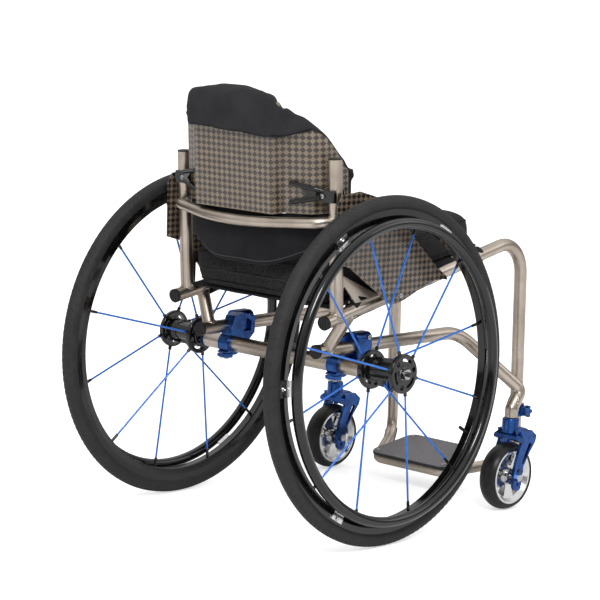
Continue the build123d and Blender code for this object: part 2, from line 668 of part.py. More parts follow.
def footrest_tube():
    points = footrest_path() + list(reversed(footrest_path(-1)))
    bends = [FOOT_BEND_R, LOOP_BEND_R, LOOP_BEND_R, FOOT_BEND_R]
    outer = swept(points, bends, FOOT_TUBE_R)
    ends = [past(points[1], points[0], 1)] + points[1:-1] + [past(points[-2], points[-1], 1)]
    return outer - swept(ends, bends, FOOT_TUBE_R - FOOT_TUBE_WALL)


def bend_guard():
    """A shell of hard rubber over the outside of the left footrest bend."""
    top, corner, rear = footrest_path()
    ahead = (vec(rear) - vec(corner)).normalized()
    up = (vec(top) - vec(corner)).normalized()
    half = acos(up.dot(ahead)) / 2
    centre = vec(corner) + (up + ahead).normalized() * (FOOT_BEND_R / sin(half))
    reach = FOOT_BEND_R / tan(half)
    start = tuple(vec(corner) + up * (reach + 0.5))
    finish = tuple(vec(corner) + ahead * (reach + 0.5))
    shell = swept([start, corner, finish], [FOOT_BEND_R], FOOT_TUBE_R + 2.0)
    wide = [tuple(vec(start) + up * 2), corner, tuple(vec(finish) + ahead * 2)]
    shell -= swept(wide, [FOOT_BEND_R], FOOT_TUBE_R + 0.03)
    core = Plane(centre, z_dir=up.cross(ahead)) * Cylinder(FOOT_BEND_R + 2, 80)
    plate = plate_place().location * Pos(0, 0, 40 - PLATE_T - GRIP_T - 0.5) * Box(600, 600, 80)
    return max((shell - core - plate).solids(), key=lambda s: s.volume)


def footrest_clamp():
    """Collar at the foot of the left front tube with a star-shaped tightening nut outboard."""
    foot = front_tube_at(FRONT_FOOT[2])
    top = front_tube_at(FRONT_FOOT[2] + 17)
    low = front_tube_at(FRONT_FOOT[2] - 5)
    body = rod(low, top, FRAME_TUBE_R + CLAMP_RING_T)
    body += Pos(foot[0] + 17, foot[1], foot[2] + 6) * Box(12, 11, 18)
    star = Sketch() + Circle(7.5)
    for k in range(5):
        star += Rot(0, 0, 72 * k + 18) * (Pos(8.2, 0) * Circle(3.6))
    body += Plane((foot[0] + 22, foot[1], foot[2] + 6), z_dir=(1, 0, 0)) * extrude(star, 8)
    body -= rod(FRONT_FOOT, past(low, top, 5), FRAME_TUBE_R + 0.03)
    body -= rod(past(top, low, 5), FRONT_FOOT, FRAME_BORE_R + 0.03)
    slit = Pos(foot[0] + 16, foot[1], foot[2] + 6) * Box(11, 1.6, 60)
    return max((body - slit).solids(), key=lambda s: s.volume)


def plate_outline(inset):
    """The footplate's rounded trapezoid, in the plate frame."""
    rear = 16.0 - inset
    front = rear - PLATE_DEPTH + 2 * inset
    wide = PLATE_REAR_HALF - inset
    narrow = PLATE_FRONT_HALF - inset
    face = make_face(Polyline([(-wide, rear), (wide, rear), (narrow, front), (-narrow, front)], close=True))
    return fillet(face.vertices(), 20 - inset)


def plate_screw_points():
    y_front = 16 - PLATE_DEPTH + 14
    rear = [(s * PLATE_SCREW_X[0], 2.0) for s in (1, -1)]
    return rear + [(s * PLATE_SCREW_X[1], y_front) for s in (1, -1)]


def footplate():
    body = Pos(0, 0, -GRIP_T - PLATE_T) * extrude(plate_outline(0), PLATE_T)
    for x, y in plate_screw_points():
        body -= Pos(x, y, 0) * disc(2.05, -10, 1)
    return plate_place().location * body


def footplate_grip():
    body = Pos(0, 0, -GRIP_T + 0.01) * extrude(plate_outline(1.5), GRIP_T - 0.01)
    for x, y in plate_screw_points():
        body -= Pos(x, y, 0) * disc(5.2, -10, 1)
    return plate_place().location * body


def footplate_screws():
    pieces = []
    for x, y in plate_screw_points():
        head = disc(4.2, -GRIP_T + 0.02, 1.0) + disc(2.0, -GRIP_T - PLATE_T, 0)
        head -= extrude(Pos(0, 0, 0.1) * RegularPolygon(1.8, 6), 2)
        pieces.append(plate_place().location * Pos(x, y, 0) * head)
    return group(pieces)


# ---- casters, about the swivel axis with Z at the floor ----------------------------------------
def fork_arm():
    """One arm of a caster fork: it sweeps forward from the axle to the shoulder."""
    t = CASTER_TRAIL
    low = CASTER_R - FORK_HOLE_STEP
    points = [
        (t - 12, low), (t - 12, 68), (-10, 85), (-26, 108), (-42, 127), (-45, 138), (-30, 150),
        (2, 150), (-3, 134), (6, 113), (14, 92), (t + 12, 68), (t + 12, low),
    ]
    face = make_face(Polyline(points, close=True))
    turns = [v for v in face.vertices() if v.Y > 60 and v.Y < 145]
    face = fillet(turns, 6) + Pos(t, low) * Circle(12)
    slot = make_face(Polyline([(-24, 128), (-30, 123), (-9, 87), (-3, 90)], close=True))
    face -= fillet(slot.vertices(), 2.8)
    for step in (-1, 1):
        face -= Pos(t, CASTER_R + step * FORK_HOLE_STEP) * Circle(3.6)
    face -= Pos(t, CASTER_R) * Circle(FORK_AXLE_R + FIT)
    return extrude(Plane.YZ * face, FORK_ARM_T)


def fork_crown():
    """The arched bridge between the fork arms."""
    outer = FORK_ARM_A + FORK_ARM_T / 2
    inner = FORK_ARM_A - FORK_ARM_T / 2
    half = [(15, 153), (outer, 140), (outer, 120)]
    bridge = make_face(Polyline([(-x, z) for x, z in reversed(half)] + half, close=True))
    bridge = fillet([v for v in bridge.vertices() if v.Y > 130], 7)
    bridge -= Pos(0, 120) * Ellipse(inner, 15.5)
    bridge -= Pos(0, 110) * Rectangle(2 * inner, 20)
    body = Pos(0, 30, 0) * extrude(Plane.XZ * bridge, 80)
    points = [(13, 134), (13, 142), (6, 153), (-26, 153), (-45, 138), (-42, 127), (-4, 127)]
    side = fillet(make_face(Polyline(points, close=True)).vertices(), 2.5)
    return body & (Pos(-40, 0, 0) * extrude(Plane.YZ * side, 80))


def caster_fork():
    body = disc(HOUSING_R, HOUSING_BOTTOM, HOUSING_TOP)
    body = fillet(body.edges().filter_by(GeomType.CIRCLE).group_by(Axis.Z)[-1], 4.5)
    body -= ring(HOUSING_R + 1, HOUSING_R - 0.5, 164.6, 165.4)
    body += fork_crown()
    arm = fork_arm()
    body += Pos(FORK_ARM_A - FORK_ARM_T / 2, 0, 0) * arm
    body += Pos(-FORK_ARM_A - FORK_ARM_T / 2, 0, 0) * arm
    body -= disc(10.2, 120, 148)
    body -= disc(SWIVEL_BEARING_R + 0.01, 147.9, 154)
    body -= disc(9.0, 153.9, 165)
    body -= disc(SWIVEL_BEARING_R + 0.01, 164.4, 170.5)
    return body - disc(8.0, 165, HOUSING_TOP + 1)


def swivel_bearings():
    t = SWIVEL_BEARING_T
    lower = ball_bearing(SWIVEL_BEARING_R, STEM_R + 0.02, t - 0.04, 148 + t / 2)
    upper = ball_bearing(SWIVEL_BEARING_R, STEM_R + 0.02, t - 0.04, 164.4 + t / 2)
    return group([lower, upper])


def caster_stem():
    """Steel stem pressed into the caster post, with the nut that holds the fork."""
    body = disc(STEM_R, 142.0, 195.0)
    nut = extrude(Pos(0, 0, 141.5) * RegularPolygon(9.2, 6), 6.3)
    washer = ring(8.6, STEM_R, POST_BOTTOM - 3.9, POST_BOTTOM - 0.1) & disc(7.6, 160, 180)
    screw = rod((0, POST_R - 0.5, 184), (0, STEM_R + 0.1, 184), 2.1)
    return [body + nut + washer, screw]


def caster_stems():
    pieces = []
    for side in (1, -1):
        for shape in caster_stem():
            pieces.append(Pos(side * CASTER_X, CASTER_Y, 0) * shape)
    return group(pieces)


def cross_axis():
    """Frame of a caster wheel: local Z runs along +X through the wheel centre."""
    return Plane((0, CASTER_TRAIL, CASTER_R), x_dir=(0, 1, 0), z_dir=(1, 0, 0))


def caster_axle():
    """Bolt with head, nut and two spacers."""
    arm_out = FORK_ARM_A + FORK_ARM_T / 2
    arm_in = FORK_ARM_A - FORK_ARM_T / 2
    bolt = disc(FORK_AXLE_R, -arm_out - 4.6, arm_out) + disc(7.0, arm_out + 0.05, arm_out + 4.0)
    bolt += disc(FORK_AXLE_R, arm_out, arm_out + 1)
    bolt -= extrude(Pos(0, 0, arm_out + 1.6) * RegularPolygon(2.9, 6), 4)
    nut = extrude(Pos(0, 0, -arm_out - 4.6) * RegularPolygon(7.2, 6), 4.5) - disc(FORK_AXLE_R + 0.02, -60, 60)
    inner = CASTER_HALF_WIDTH - 4.0
    left = ring(6.4, FORK_AXLE_R + 0.02, inner + 0.05, arm_in - FIT)
    right = ring(6.4, FORK_AXLE_R + 0.02, -arm_in + FIT, -inner - 0.05)
    return cross_axis().location * group([bolt, nut, left, right])


def caster_tyre():
    half = CASTER_HALF_WIDTH
    inner = CASTER_RIM_R + 0.02
    edge_r = CASTER_FACE_R + 1.5
    crown = ThreePointArc((edge_r, -half + 1.2), (CASTER_R, 0), (edge_r, half - 1.2))
    outline = Polyline((CASTER_FACE_R + 1.5, half - 1.2), (CASTER_FACE_R, half - 2.2), (inner, half - 2.6),
                       (inner, -half + 2.6), (CASTER_FACE_R, -half + 2.2), (CASTER_FACE_R + 1.5, -half + 1.2))
    return cross_axis().location * revolved(make_face([crown] + list(outline.edges())))


def caster_wheel():
    """Cast wheel: rim, dished web with five openings and a hub bored for two bearings."""
    half = CASTER_HALF_WIDTH - 2.6
    profile = [
        (9.0, -15.0), (15.0, -15.0), (16.5, -8.0), (42.0, -9.0), (48.0, -half), (CASTER_RIM_R, -half),
        (CASTER_RIM_R, half), (48.0, half), (42.0, 9.0), (16.5, 8.0), (15.0, 15.0), (9.0, 15.0),
    ]
    body = revolved(make_face(Polyline(profile, close=True)))
    body -= ring(44.0, 18.0, -3.0, 3.0)
    window = make_face(Polyline([(20, 3.5), (41, 13), (41, -13), (20, -3.5)], close=True))
    window = fillet(window.vertices(), 3.2)
    for k in range(5):
        body -= extrude(Rot(0, 0, 72 * k + 20) * Pos(0, 0, -20) * window, 40)
    body -= disc(FORK_AXLE_R + 2.0, -30, 30)
    for s in (1, -1):
        seat = s * (15.0 - CASTER_BEARING_T / 2)
        half_seat = CASTER_BEARING_T / 2 + 0.5
        body -= disc(CASTER_BEARING_R + 0.01, seat - half_seat, seat + half_seat)
    return cross_axis().location * body


def caster_bearings():
    t = CASTER_BEARING_T
    seats = [s * (15.0 - t / 2) for s in (1, -1)]
    return cross_axis().location * group(
        [ball_bearing(CASTER_BEARING_R, FORK_AXLE_R + FIT, t - 0.04, s) for s in seats]
    )


# ---- seat --------------------------------------------------------------------------------------
def rail_x(y):
    t = (RAIL_REAR[1] - y) / (RAIL_REAR[1] - RAIL_CORNER[1])
    return RAIL_REAR[0] + t * (RAIL_CORNER[0] - RAIL_REAR[0])


def seat_sling():
    """Fabric sheet stretched over the seat rails."""
    rear = CANE_X - FRAME_TUBE_R - 2.0
    front = rail_x(SLING_FRONT_Y) + 2.0
    side = rail_x(-55.0) - 3.5
    points = [(rear, SLING_REAR_Y), (rear, 48), (side, -55), (front, SLING_FRONT_Y)]
    outline = points + [(-x, y) for x, y in reversed(points)]
    sheet = extrude(Pos(0, 0, FRAME_TUBE_R + 0.3) * make_face(Polyline(outline, close=True)), SLING_T)
    for x, y in sling_screw_points():
        sheet -= Pos(x, y, 0) * disc(2.05, 0, 40)
    return seat_place().location * sheet


def sling_screw_points():
    return [(s * (rail_x(y) - 8.5), y) for y in (20.0, -80.0, -180.0, -280.0, -335.0) for s in (1, -1)]


def sling_screws():
    pieces = []
    low = FRAME_TUBE_R + 0.5
    top = FRAME_TUBE_R + SLING_T + 0.33
    for x, y in sling_screw_points():
        screw = disc(2.0, low, top) + disc(4.0, top, top + 1.4)
        pieces.append(seat_place().location * Pos(x, y, 0) * screw)
    return group(pieces)


def seat_cushion():
    """Foam cushion in its cover, as one plain block with soft edges."""
    depth = CUSHION_REAR_Y - CUSHION_FRONT_Y
    low = FRAME_TUBE_R + SLING_T + 2.2
    block = Box(2 * CUSHION_HALF, depth, CUSHION_T)
    block = fillet(block.edges().filter_by(Axis.Z), 24)
    block = fillet(block.edges().group_by(Axis.Z)[-1] + block.edges().group_by(Axis.Z)[0], 12)
    middle = (CUSHION_REAR_Y + CUSHION_FRONT_Y) / 2
    return seat_place().location * Pos(0, middle, low + CUSHION_T / 2) * block


def guard_outline():
    """Side view of a side guard: high at the back, swept down to a point in front."""
    front = Spline([(4, 606), (-72, 556), (-136, 500), (-198, 453)])
    lower = Spline([(-202, 446), (-114, 431), (-82, 419), (-47, 413)])
    points = Polyline((-47, 413), (64, 486), (100, 496), (102, 596), (92, 612), (46, 617), (4, 606))
    edges = list(front.edges()) + list(lower.edges()) + list(points.edges())
    edges.append(Line((-198, 453), (-202, 446)).edge())
    return make_face(Wire(edges))


def side_guard(side):
    """Carbon plate between the seat and the rear wheel, screwed to the posts on the rail."""
    body = Pos(GUARD_X, 0, 0) * extrude(Plane.YZ * guard_outline(), GUARD_T)
    for (y, z), x in guard_posts():
        body -= rod((GUARD_X - 2, y, z), (GUARD_X + 9, y, z), 2.55)
    return body if side > 0 else mirror(body, about=Plane.YZ)


def guard_screws():
    pieces = []
    face = GUARD_X + GUARD_T + 0.02
    for (y, z), x in guard_posts():
        pieces.append(cap_screw((face, y, z), (GUARD_X - 8, y, z), 2.45, 2.0))
    return both(group(pieces))


# ---- back support, in the back frame -----------------------------------------------------------

def shell_region():
    """Outline of the shell's outer surface seen from above, closed far in front."""
    half = [(93.5, 64), (99, 40), (150, 22), (163, -2), (177, -200)]
    outline = [(-x, y) for x, y in reversed(half)] + half
    face = make_face(Polyline(outline, close=True))
    rear = [v for v in face.vertices() if v.Y > -50]
    return fillet(rear, 5)


def shell_layer(grow_out, grow_in, front):
    """The band between two offsets of the shell outline, cut off at a front line."""
    outer = offset(shell_region(), grow_out) if grow_out else shell_region()
    inner = offset(shell_region(), grow_in)
    face = outer - inner
    return face - Pos(0, front - 100) * Rectangle(600, 200)


def mirrored(points):
    """A half outline that starts at X = 0, carried on to the other side."""
    return [(-x, y) for x, y in reversed(points[1:])] + list(points)


def below_arch(points, rise, bottom):
    """Everything under an arch seen from the front, whose crown line is raised by rise."""
    crown = Spline([(x, h + rise) for x, h in mirrored(points)])
    x_end = points[-1][0]
    h_end = points[-1][1] + rise
    rest = Polyline((x_end, h_end), (x_end, bottom), (-x_end, bottom), (-x_end, h_end))
    face = make_face(Wire(list(crown.edges()) + list(rest.edges())))
    return Pos(0, 150, 0) * extrude(Plane.XZ * face, 300)


def below_slope(points, rise, bottom):
    """Everything under a line that climbs to the rear seen from the side."""
    line = Spline([(y, h + rise) for y, h in points])
    y_front, h_front = points[0]
    y_rear, h_rear = points[-1]
    rest = Polyline(
        (y_rear, h_rear + rise), (y_rear + 30, h_rear + rise + 50), (y_rear + 30, bottom),
        (y_front, bottom), (y_front, h_front + rise),
    )
    face = make_face(Wire(list(line.edges()) + list(rest.edges())))
    return Pos(-300, 0, 0) * extrude(Plane.YZ * face, 600)


def back_shell():
    """Moulded carbon shell: a middle panel and two wings, under an arched edge."""
    low = SHELL_BOTTOM - 1
    body = extrude(Pos(0, 0, low) * shell_layer(0, -SHELL_T, -52), 230)
    body = body & below_arch(SHELL_TOP, 0, SHELL_BOTTOM) & below_slope(SHELL_SLOPE, 0, SHELL_BOTTOM)
    return back_place().location * max(body.solids(), key=lambda s: s.volume)


def back_roll():
    """The padded roll that hangs below the shell, with an arched hem."""
    outer = Spline(mirrored(ROLL_OUTER))
    inner = Spline([(x, y) for x, y in ROLL_INNER] + [(-x, y) for x, y in reversed(ROLL_INNER[:-1])])
    x_out, y_out = ROLL_OUTER[-1]
    x_in, y_in = ROLL_INNER[0]
    ends = [Line((x_out, y_out), (x_in, y_in)).edge(), Line((-x_in, y_in), (-x_out, y_out)).edge()]
    plan = make_face(Wire(list(outer.edges()) + list(inner.edges()) + ends))
    hem = Spline(mirrored(ROLL_HEM))
    x_end, h_end = ROLL_HEM[-1]
    rest = Polyline((x_end, h_end), (x_end, 0), (-x_end, 0), (-x_end, h_end))
    front_view = make_face(Wire(list(hem.edges()) + list(rest.edges())))
    top = SHELL_BOTTOM - PAD_GAP
    return extrude(Pos(0, 0, -150) * plan, top + 150) & (Pos(0, 150, 0) * extrude(Plane.XZ * front_view, 300))


def back_pad():
    """Foam lining in front of the shell, turned over its top edge, with the roll below."""
    gap = SHELL_T + PAD_GAP
    low = SHELL_BOTTOM - 2
    lining = extrude(Pos(0, 0, low) * shell_layer(-gap, -gap - PAD_T, -48), 250)
    edge = extrude(Pos(0, 0, low + 20) * shell_layer(0, -gap - 2, -48), 250)
    turn_over = extrude(Pos(0, 0, 101) * shell_layer(12, -gap - 2, -48), 130) & Box(194, 400, 800)
    slot = extrude(Pos(0, 0, -60) * shell_layer(PAD_GAP, -gap, -80), 300)
    slot = slot & below_arch(SHELL_TOP, PAD_GAP, -60) & below_slope(SHELL_SLOPE, PAD_GAP, -60)
    body = (lining + edge + turn_over - slot) & below_arch(COVER_TOP, 0, low)
    body = (body & below_slope(COVER_SLOPE, 0, low)) + back_roll()
    return back_place().location * max(body.solids(), key=lambda s: s.volume)


def clamp_web():
    """Thin plate between the two fingers of a clamp, notched toward their tips."""
    plane = Plane(FINGER_ROOT, x_dir=(-41.5, 14.9, 0), z_dir=(14.9, 41.5, 0))
    face = make_face(Polyline([(-3, -9), (-3, 9), (34, 15), (14, 0), (34, -15)], close=True))
    return extrude(plane * face, 1.5, both=True)


def cane_clamp():
    """Left clamp on the back tube with two fingers that hold the shell's side."""
    block = fillet(Box(28, 31, CLAMP_BLOCK_H).edges().filter_by(Axis.Z), 4)
    body = Pos(179, 1, -CLAMP_DROP) * block
    root_x, root_y, _ = FINGER_ROOT
    tip_x, tip_y = FINGER_TIP
    for s in (1, -1):
        root = (root_x, root_y, s * 8.5)
        tip = (tip_x, tip_y, s * 16.5)
        body += rod((171, 12, s * 3), root, 4.6)
        body += rod(root, tip, 4.2)
        body += Pos(root) * Sphere(4.6)
        body += Pos(tip) * Sphere(4.2)
    body += clamp_web()
    body -= Pos(CANE_X, 0, 0) * disc(FRAME_TUBE_R + 0.04, -60, 60)
    body -= rod((CLAMP_SCREW_X, 30, -CLAMP_DROP), (CLAMP_SCREW_X, 4, -CLAMP_DROP), 2.5)
    body -= rod((CLAMP_SCREW_X, 40, -CLAMP_DROP), (CLAMP_SCREW_X, 16.55, -CLAMP_DROP), 4.6)
    return max(body.solids(), key=lambda s: s.volume)


def cane_clamps():
    return back_place().location * both(cane_clamp())


def cane_clamp_screws():
    base = (CLAMP_SCREW_X, 16.6, -CLAMP_DROP)
    screw = cap_screw(base, (CLAMP_SCREW_X, 6, -CLAMP_DROP), 2.4, 3.0)
    return back_place().location * both(screw)


# ---- all nodes ---------------------------------------------------------------------------------
def rear_wheel_nodes(side, word):
    place = wheel_place(side).location
    shapes = {
        "rear_tyre": tyre, "inner_tube": inner_tube, "rim": rim, "spokes": spokes,
        "spoke_fittings": spoke_fittings, "hub": hub, "hub_bearings": hub_bearings,
        "pushrim": pushrim, "pushrim_tabs": pushrim_tabs,
        "quick_release_axle": quick_release_axle, "release_button": release_button,
    }
    return {f"{name}_{word}": place * make() for name, make in shapes.items()}


def caster_nodes(side, word):
    place = Pos(side * CASTER_X, CASTER_Y, 0)
    shapes = {
        "caster_fork": caster_fork, "swivel_bearings": swivel_bearings, "caster_axle": caster_axle,
        "caster_tyre": caster_tyre, "caster_wheel": caster_wheel, "caster_bearings": caster_bearings,
    }
    return {f"{name}_{word}": place * make() for name, make in shapes.items()}


def all_nodes():
    nodes = {
        "frame_weldment": frame_weldment(),
        "rail_end_caps": rail_end_caps(),
        "cane_caps": cane_caps(),
        "camber_tube": camber_tube(),
        "camber_plugs": camber_plugs(),
        "axle_clamps": both(axle_clamp()),
        "axle_clamp_caps": both(axle_clamp_cap()),
        "clamp_bolts": clamp_bolts(),
        "caster_stems": caster_stems(),
        "footrest_clamps": both(footrest_clamp()),
        "footrest_tube": footrest_tube(),
        "bend_guards": both(bend_guard()),
        "footplate": footplate(),
        "footplate_grip": footplate_grip(),
        "footplate_screws": footplate_screws(),
        "seat_sling": seat_sling(),
        "sling_screws": sling_screws(),
        "seat_cushion": seat_cushion(),
        "side_guard_left": side_guard(1),
        "side_guard_right": side_guard(-1),
        "guard_screws": guard_screws(),
        "back_shell": back_shell(),
        "back_pad": back_pad(),
        "cane_clamps": cane_clamps(),
        "cane_clamp_screws": cane_clamp_screws(),
    }
    for side, word in ((1, "left"), (-1, "right")):
        nodes.update(rear_wheel_nodes(side, word))
        nodes.update(caster_nodes(side, word))
    return nodes


front_edge = FRONT_FOOT[1] - FRAME_TUBE_R - CLAMP_RING_T
to_middle = Pos(0, -(WHEEL_R + front_edge) / 2, 0)
os.makedirs("parts", exist_ok=True)
for name, shape in all_nodes().items():
    export_step(to_middle * shape, f"parts/{name}.step")
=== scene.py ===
import json
import bmesh
import bpy
from math import atan2, cos, exp, hypot, pi, radians, sin
from mathutils import Matrix, Vector, noise
from mathutils.bvhtree import BVHTree


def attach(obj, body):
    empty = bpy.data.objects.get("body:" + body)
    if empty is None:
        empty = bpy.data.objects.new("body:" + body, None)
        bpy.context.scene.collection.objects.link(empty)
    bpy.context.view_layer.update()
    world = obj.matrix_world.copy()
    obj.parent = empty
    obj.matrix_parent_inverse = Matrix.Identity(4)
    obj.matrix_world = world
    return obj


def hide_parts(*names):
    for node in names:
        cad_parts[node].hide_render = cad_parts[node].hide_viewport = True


# Looks for a rigid-frame manual wheelchair. Metres, row frame: +Z up, front faces -Y, user's left is +X.

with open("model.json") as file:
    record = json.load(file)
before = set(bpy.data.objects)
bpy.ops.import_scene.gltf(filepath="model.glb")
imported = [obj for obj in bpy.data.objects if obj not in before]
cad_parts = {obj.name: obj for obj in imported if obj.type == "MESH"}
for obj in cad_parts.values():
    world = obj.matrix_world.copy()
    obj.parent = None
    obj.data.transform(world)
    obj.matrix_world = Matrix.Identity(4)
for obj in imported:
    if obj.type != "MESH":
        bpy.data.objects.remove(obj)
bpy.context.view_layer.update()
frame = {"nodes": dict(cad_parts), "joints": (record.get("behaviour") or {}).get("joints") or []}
nodes = frame["nodes"]
joints = {j["name"]: j for j in frame["joints"]}

# ---- driving dimensions, taken from the frame --------------------------------------------------
HUB = Vector(joints["left_wheel_spin"]["pos_m"])
AXLE_Y = HUB.y                                     # the rear axle line
SEAT_FORWARD = Vector(joints["cushion_removal"]["axis"])
BACK_UP = Vector(joints["back_height"]["axis"])
FRAME_TUBE_R = 0.012


# ---- node trees --------------------------------------------------------------------------------
def srgb(red, green, blue):
    """Linear colour from 0-255 display values."""
    linear = [((v / 255 + 0.055) / 1.055) ** 2.4 if v > 10 else v / 3295 for v in (red, green, blue)]
    return (*linear, 1)


class Tree:
    """A material's node tree, with short calls for the nodes used here."""

    def __init__(self, name, colour=(0.5, 0.5, 0.5, 1), roughness=0.5, metallic=0.0):
        self.material = bpy.data.materials.new(name)
        self.material.use_nodes = True
        self.tree = self.material.node_tree
        self.shader = self.tree.nodes["Principled BSDF"]
        self.set("Base Color", colour)
        self.set("Roughness", roughness)
        self.set("Metallic", metallic)
        self.place = self.add("ShaderNodeTexCoord").outputs["Object"]

    def add(self, kind, inputs=None, **settings):
        made = self.tree.nodes.new(kind)
        for key, value in settings.items():
            setattr(made, key, value)
        for key, value in (inputs or {}).items():
            self.feed(made.inputs[key], value)
        return made

    def feed(self, socket, value):
        if isinstance(value, bpy.types.NodeSocket):
            self.tree.links.new(value, socket)
        else:
            socket.default_value = value

    def set(self, name, value):
        self.feed(self.shader.inputs[name], value)

    def math(self, operation, a, b=0.0, c=0.0):
        return self.add("ShaderNodeMath", {0: a, 1: b, 2: c}, operation=operation).outputs[0]

    def dot(self, vector, direction):
        made = self.add("ShaderNodeVectorMath", {0: vector, 1: direction}, operation="DOT_PRODUCT")
        return made.outputs["Value"]

    def stretch(self, scale, vector=None):
        inputs = {"Vector": vector or self.place, "Scale": scale}
        return self.add("ShaderNodeMapping", inputs).outputs["Vector"]

    def noise(self, scale, detail=3.0, vector=None, roughness=0.5):
        inputs = {"Vector": vector or self.place, "Scale": scale, "Detail": detail, "Roughness": roughness}
        return self.add("ShaderNodeTexNoise", inputs).outputs["Fac"]

    def cells(self, scale, vector=None, feature="F1"):
        inputs = {"Vector": vector or self.place, "Scale": scale}
        return self.add("ShaderNodeTexVoronoi", inputs, feature=feature).outputs["Distance"]

    def ramp(self, factor, low, high, out_low=0.0, out_high=1.0):
        inputs = {"Value": factor, "From Min": low, "From Max": high, "To Min": out_low, "To Max": out_high}
        return self.add("ShaderNodeMapRange", inputs).outputs["Result"]

    def mix(self, factor, a, b):
        made = self.add("ShaderNodeMix", data_type="RGBA")
        self.feed(made.inputs["Factor"], factor)
        self.feed(made.inputs[6], a)
        self.feed(made.inputs[7], b)
        return made.outputs[2]

    def bump(self, height, strength, distance, below=None):
        inputs = {"Height": height, "Strength": strength, "Distance": distance}
        if below is not None:
            inputs["Normal"] = below
        normal = self.add("ShaderNodeBump", inputs).outputs["Normal"]
        self.set("Normal", normal)
        return normal


# ---- materials ---------------------------------------------------------------------------------
def titanium():
    """Satin warm grey metal with fine brushing and faint heat tint."""
    m = Tree("titanium", metallic=1.0)
    cloud = m.noise(14, 4)
    m.set("Base Color", m.mix(m.ramp(cloud, 0.35, 0.65), srgb(202, 190, 177), srgb(174, 162, 149)))
    brush = m.noise(220, 2, m.stretch((1, 1, 9)))
    m.set("Roughness", m.ramp(brush, 0.3, 0.7, 0.27, 0.40))
    m.bump(brush, 0.12, 0.0004)
    return m.material


def weld_metal():
    """Bright ripples of a weld bead."""
    m = Tree("weld_bead", metallic=1.0)
    m.set("Base Color", m.mix(m.noise(400, 2), srgb(205, 198, 186), srgb(150, 140, 125)))
    m.set("Roughness", m.ramp(m.noise(600), 0.3, 0.7, 0.2, 0.38))
    m.bump(m.noise(900, 2), 0.3, 0.0004)
    return m.material


def anodised(name, light, dark, roughness=0.26):
    """Coloured anodised aluminium with a bead-blasted grain and paler worn patches."""
    m = Tree(name, metallic=0.9)
    m.set("Base Color", m.mix(m.ramp(m.noise(60, 4), 0.35, 0.65), light, dark))
    grain = m.noise(2600, 2)
    m.set("Roughness", m.ramp(m.noise(45), 0.3, 0.7, roughness - 0.05, roughness + 0.08))
    m.set("Coat Weight", 0.25)
    m.set("Coat Roughness", 0.15)
    m.bump(grain, 0.12, 0.0002)
    return m.material


def gloss_black(name, base=10, roughness=0.16):
    """Deep black coating with faint smears and dust."""
    m = Tree(name)
    smear = m.noise(30, 5, roughness=0.7)
    deep, dusty = srgb(base, base, base + 1), srgb(base + 14, base + 14, base + 15)
    m.set("Base Color", m.mix(m.ramp(smear, 0.45, 0.75), deep, dusty))
    m.set("Roughness", m.ramp(smear, 0.3, 0.75, roughness - 0.04, roughness + 0.12))
    m.set("Coat Weight", 0.6)
    m.set("Coat Roughness", 0.07)
    m.bump(m.noise(1500, 2), 0.04, 0.0002)
    m.set("Specular IOR Level", 0.25)
    return m.material


def rubber(name, base=26, roughness=0.62, grain=900):
    m = Tree(name)
    patch = m.noise(40, 5, roughness=0.7)
    deep, dusty = srgb(base, base, base), srgb(base + 16, base + 15, base + 15)
    m.set("Base Color", m.mix(m.ramp(patch, 0.35, 0.7), deep, dusty))
    m.set("Roughness", m.ramp(patch, 0.3, 0.7, roughness - 0.08, roughness + 0.12))
    m.set("Specular IOR Level", 0.3)
    m.bump(m.noise(grain, 3), 0.25, 0.0004)
    return m.material


def bright_metal(name, colour, roughness=0.16, grain=500):
    m = Tree(name, metallic=1.0)
    m.set("Base Color", m.mix(m.noise(80, 3), colour, tuple(0.8 * v for v in colour[:3]) + (1,)))
    m.set("Roughness", m.ramp(m.noise(120, 4), 0.3, 0.7, roughness - 0.05, roughness + 0.1))
    m.bump(m.noise(grain, 2), 0.06, 0.0003)
    return m.material


def spoke_blue():
    m = Tree("azure_spokes", metallic=0.1)
    m.set("Base Color", m.mix(m.noise(90, 3), srgb(0, 120, 224), srgb(0, 96, 200)))
    m.set("Roughness", m.ramp(m.noise(300), 0.3, 0.7, 0.22, 0.36))
    m.set("Coat Weight", 0.5)
    m.bump(m.noise(1500), 0.05, 0.0002)
    return m.material


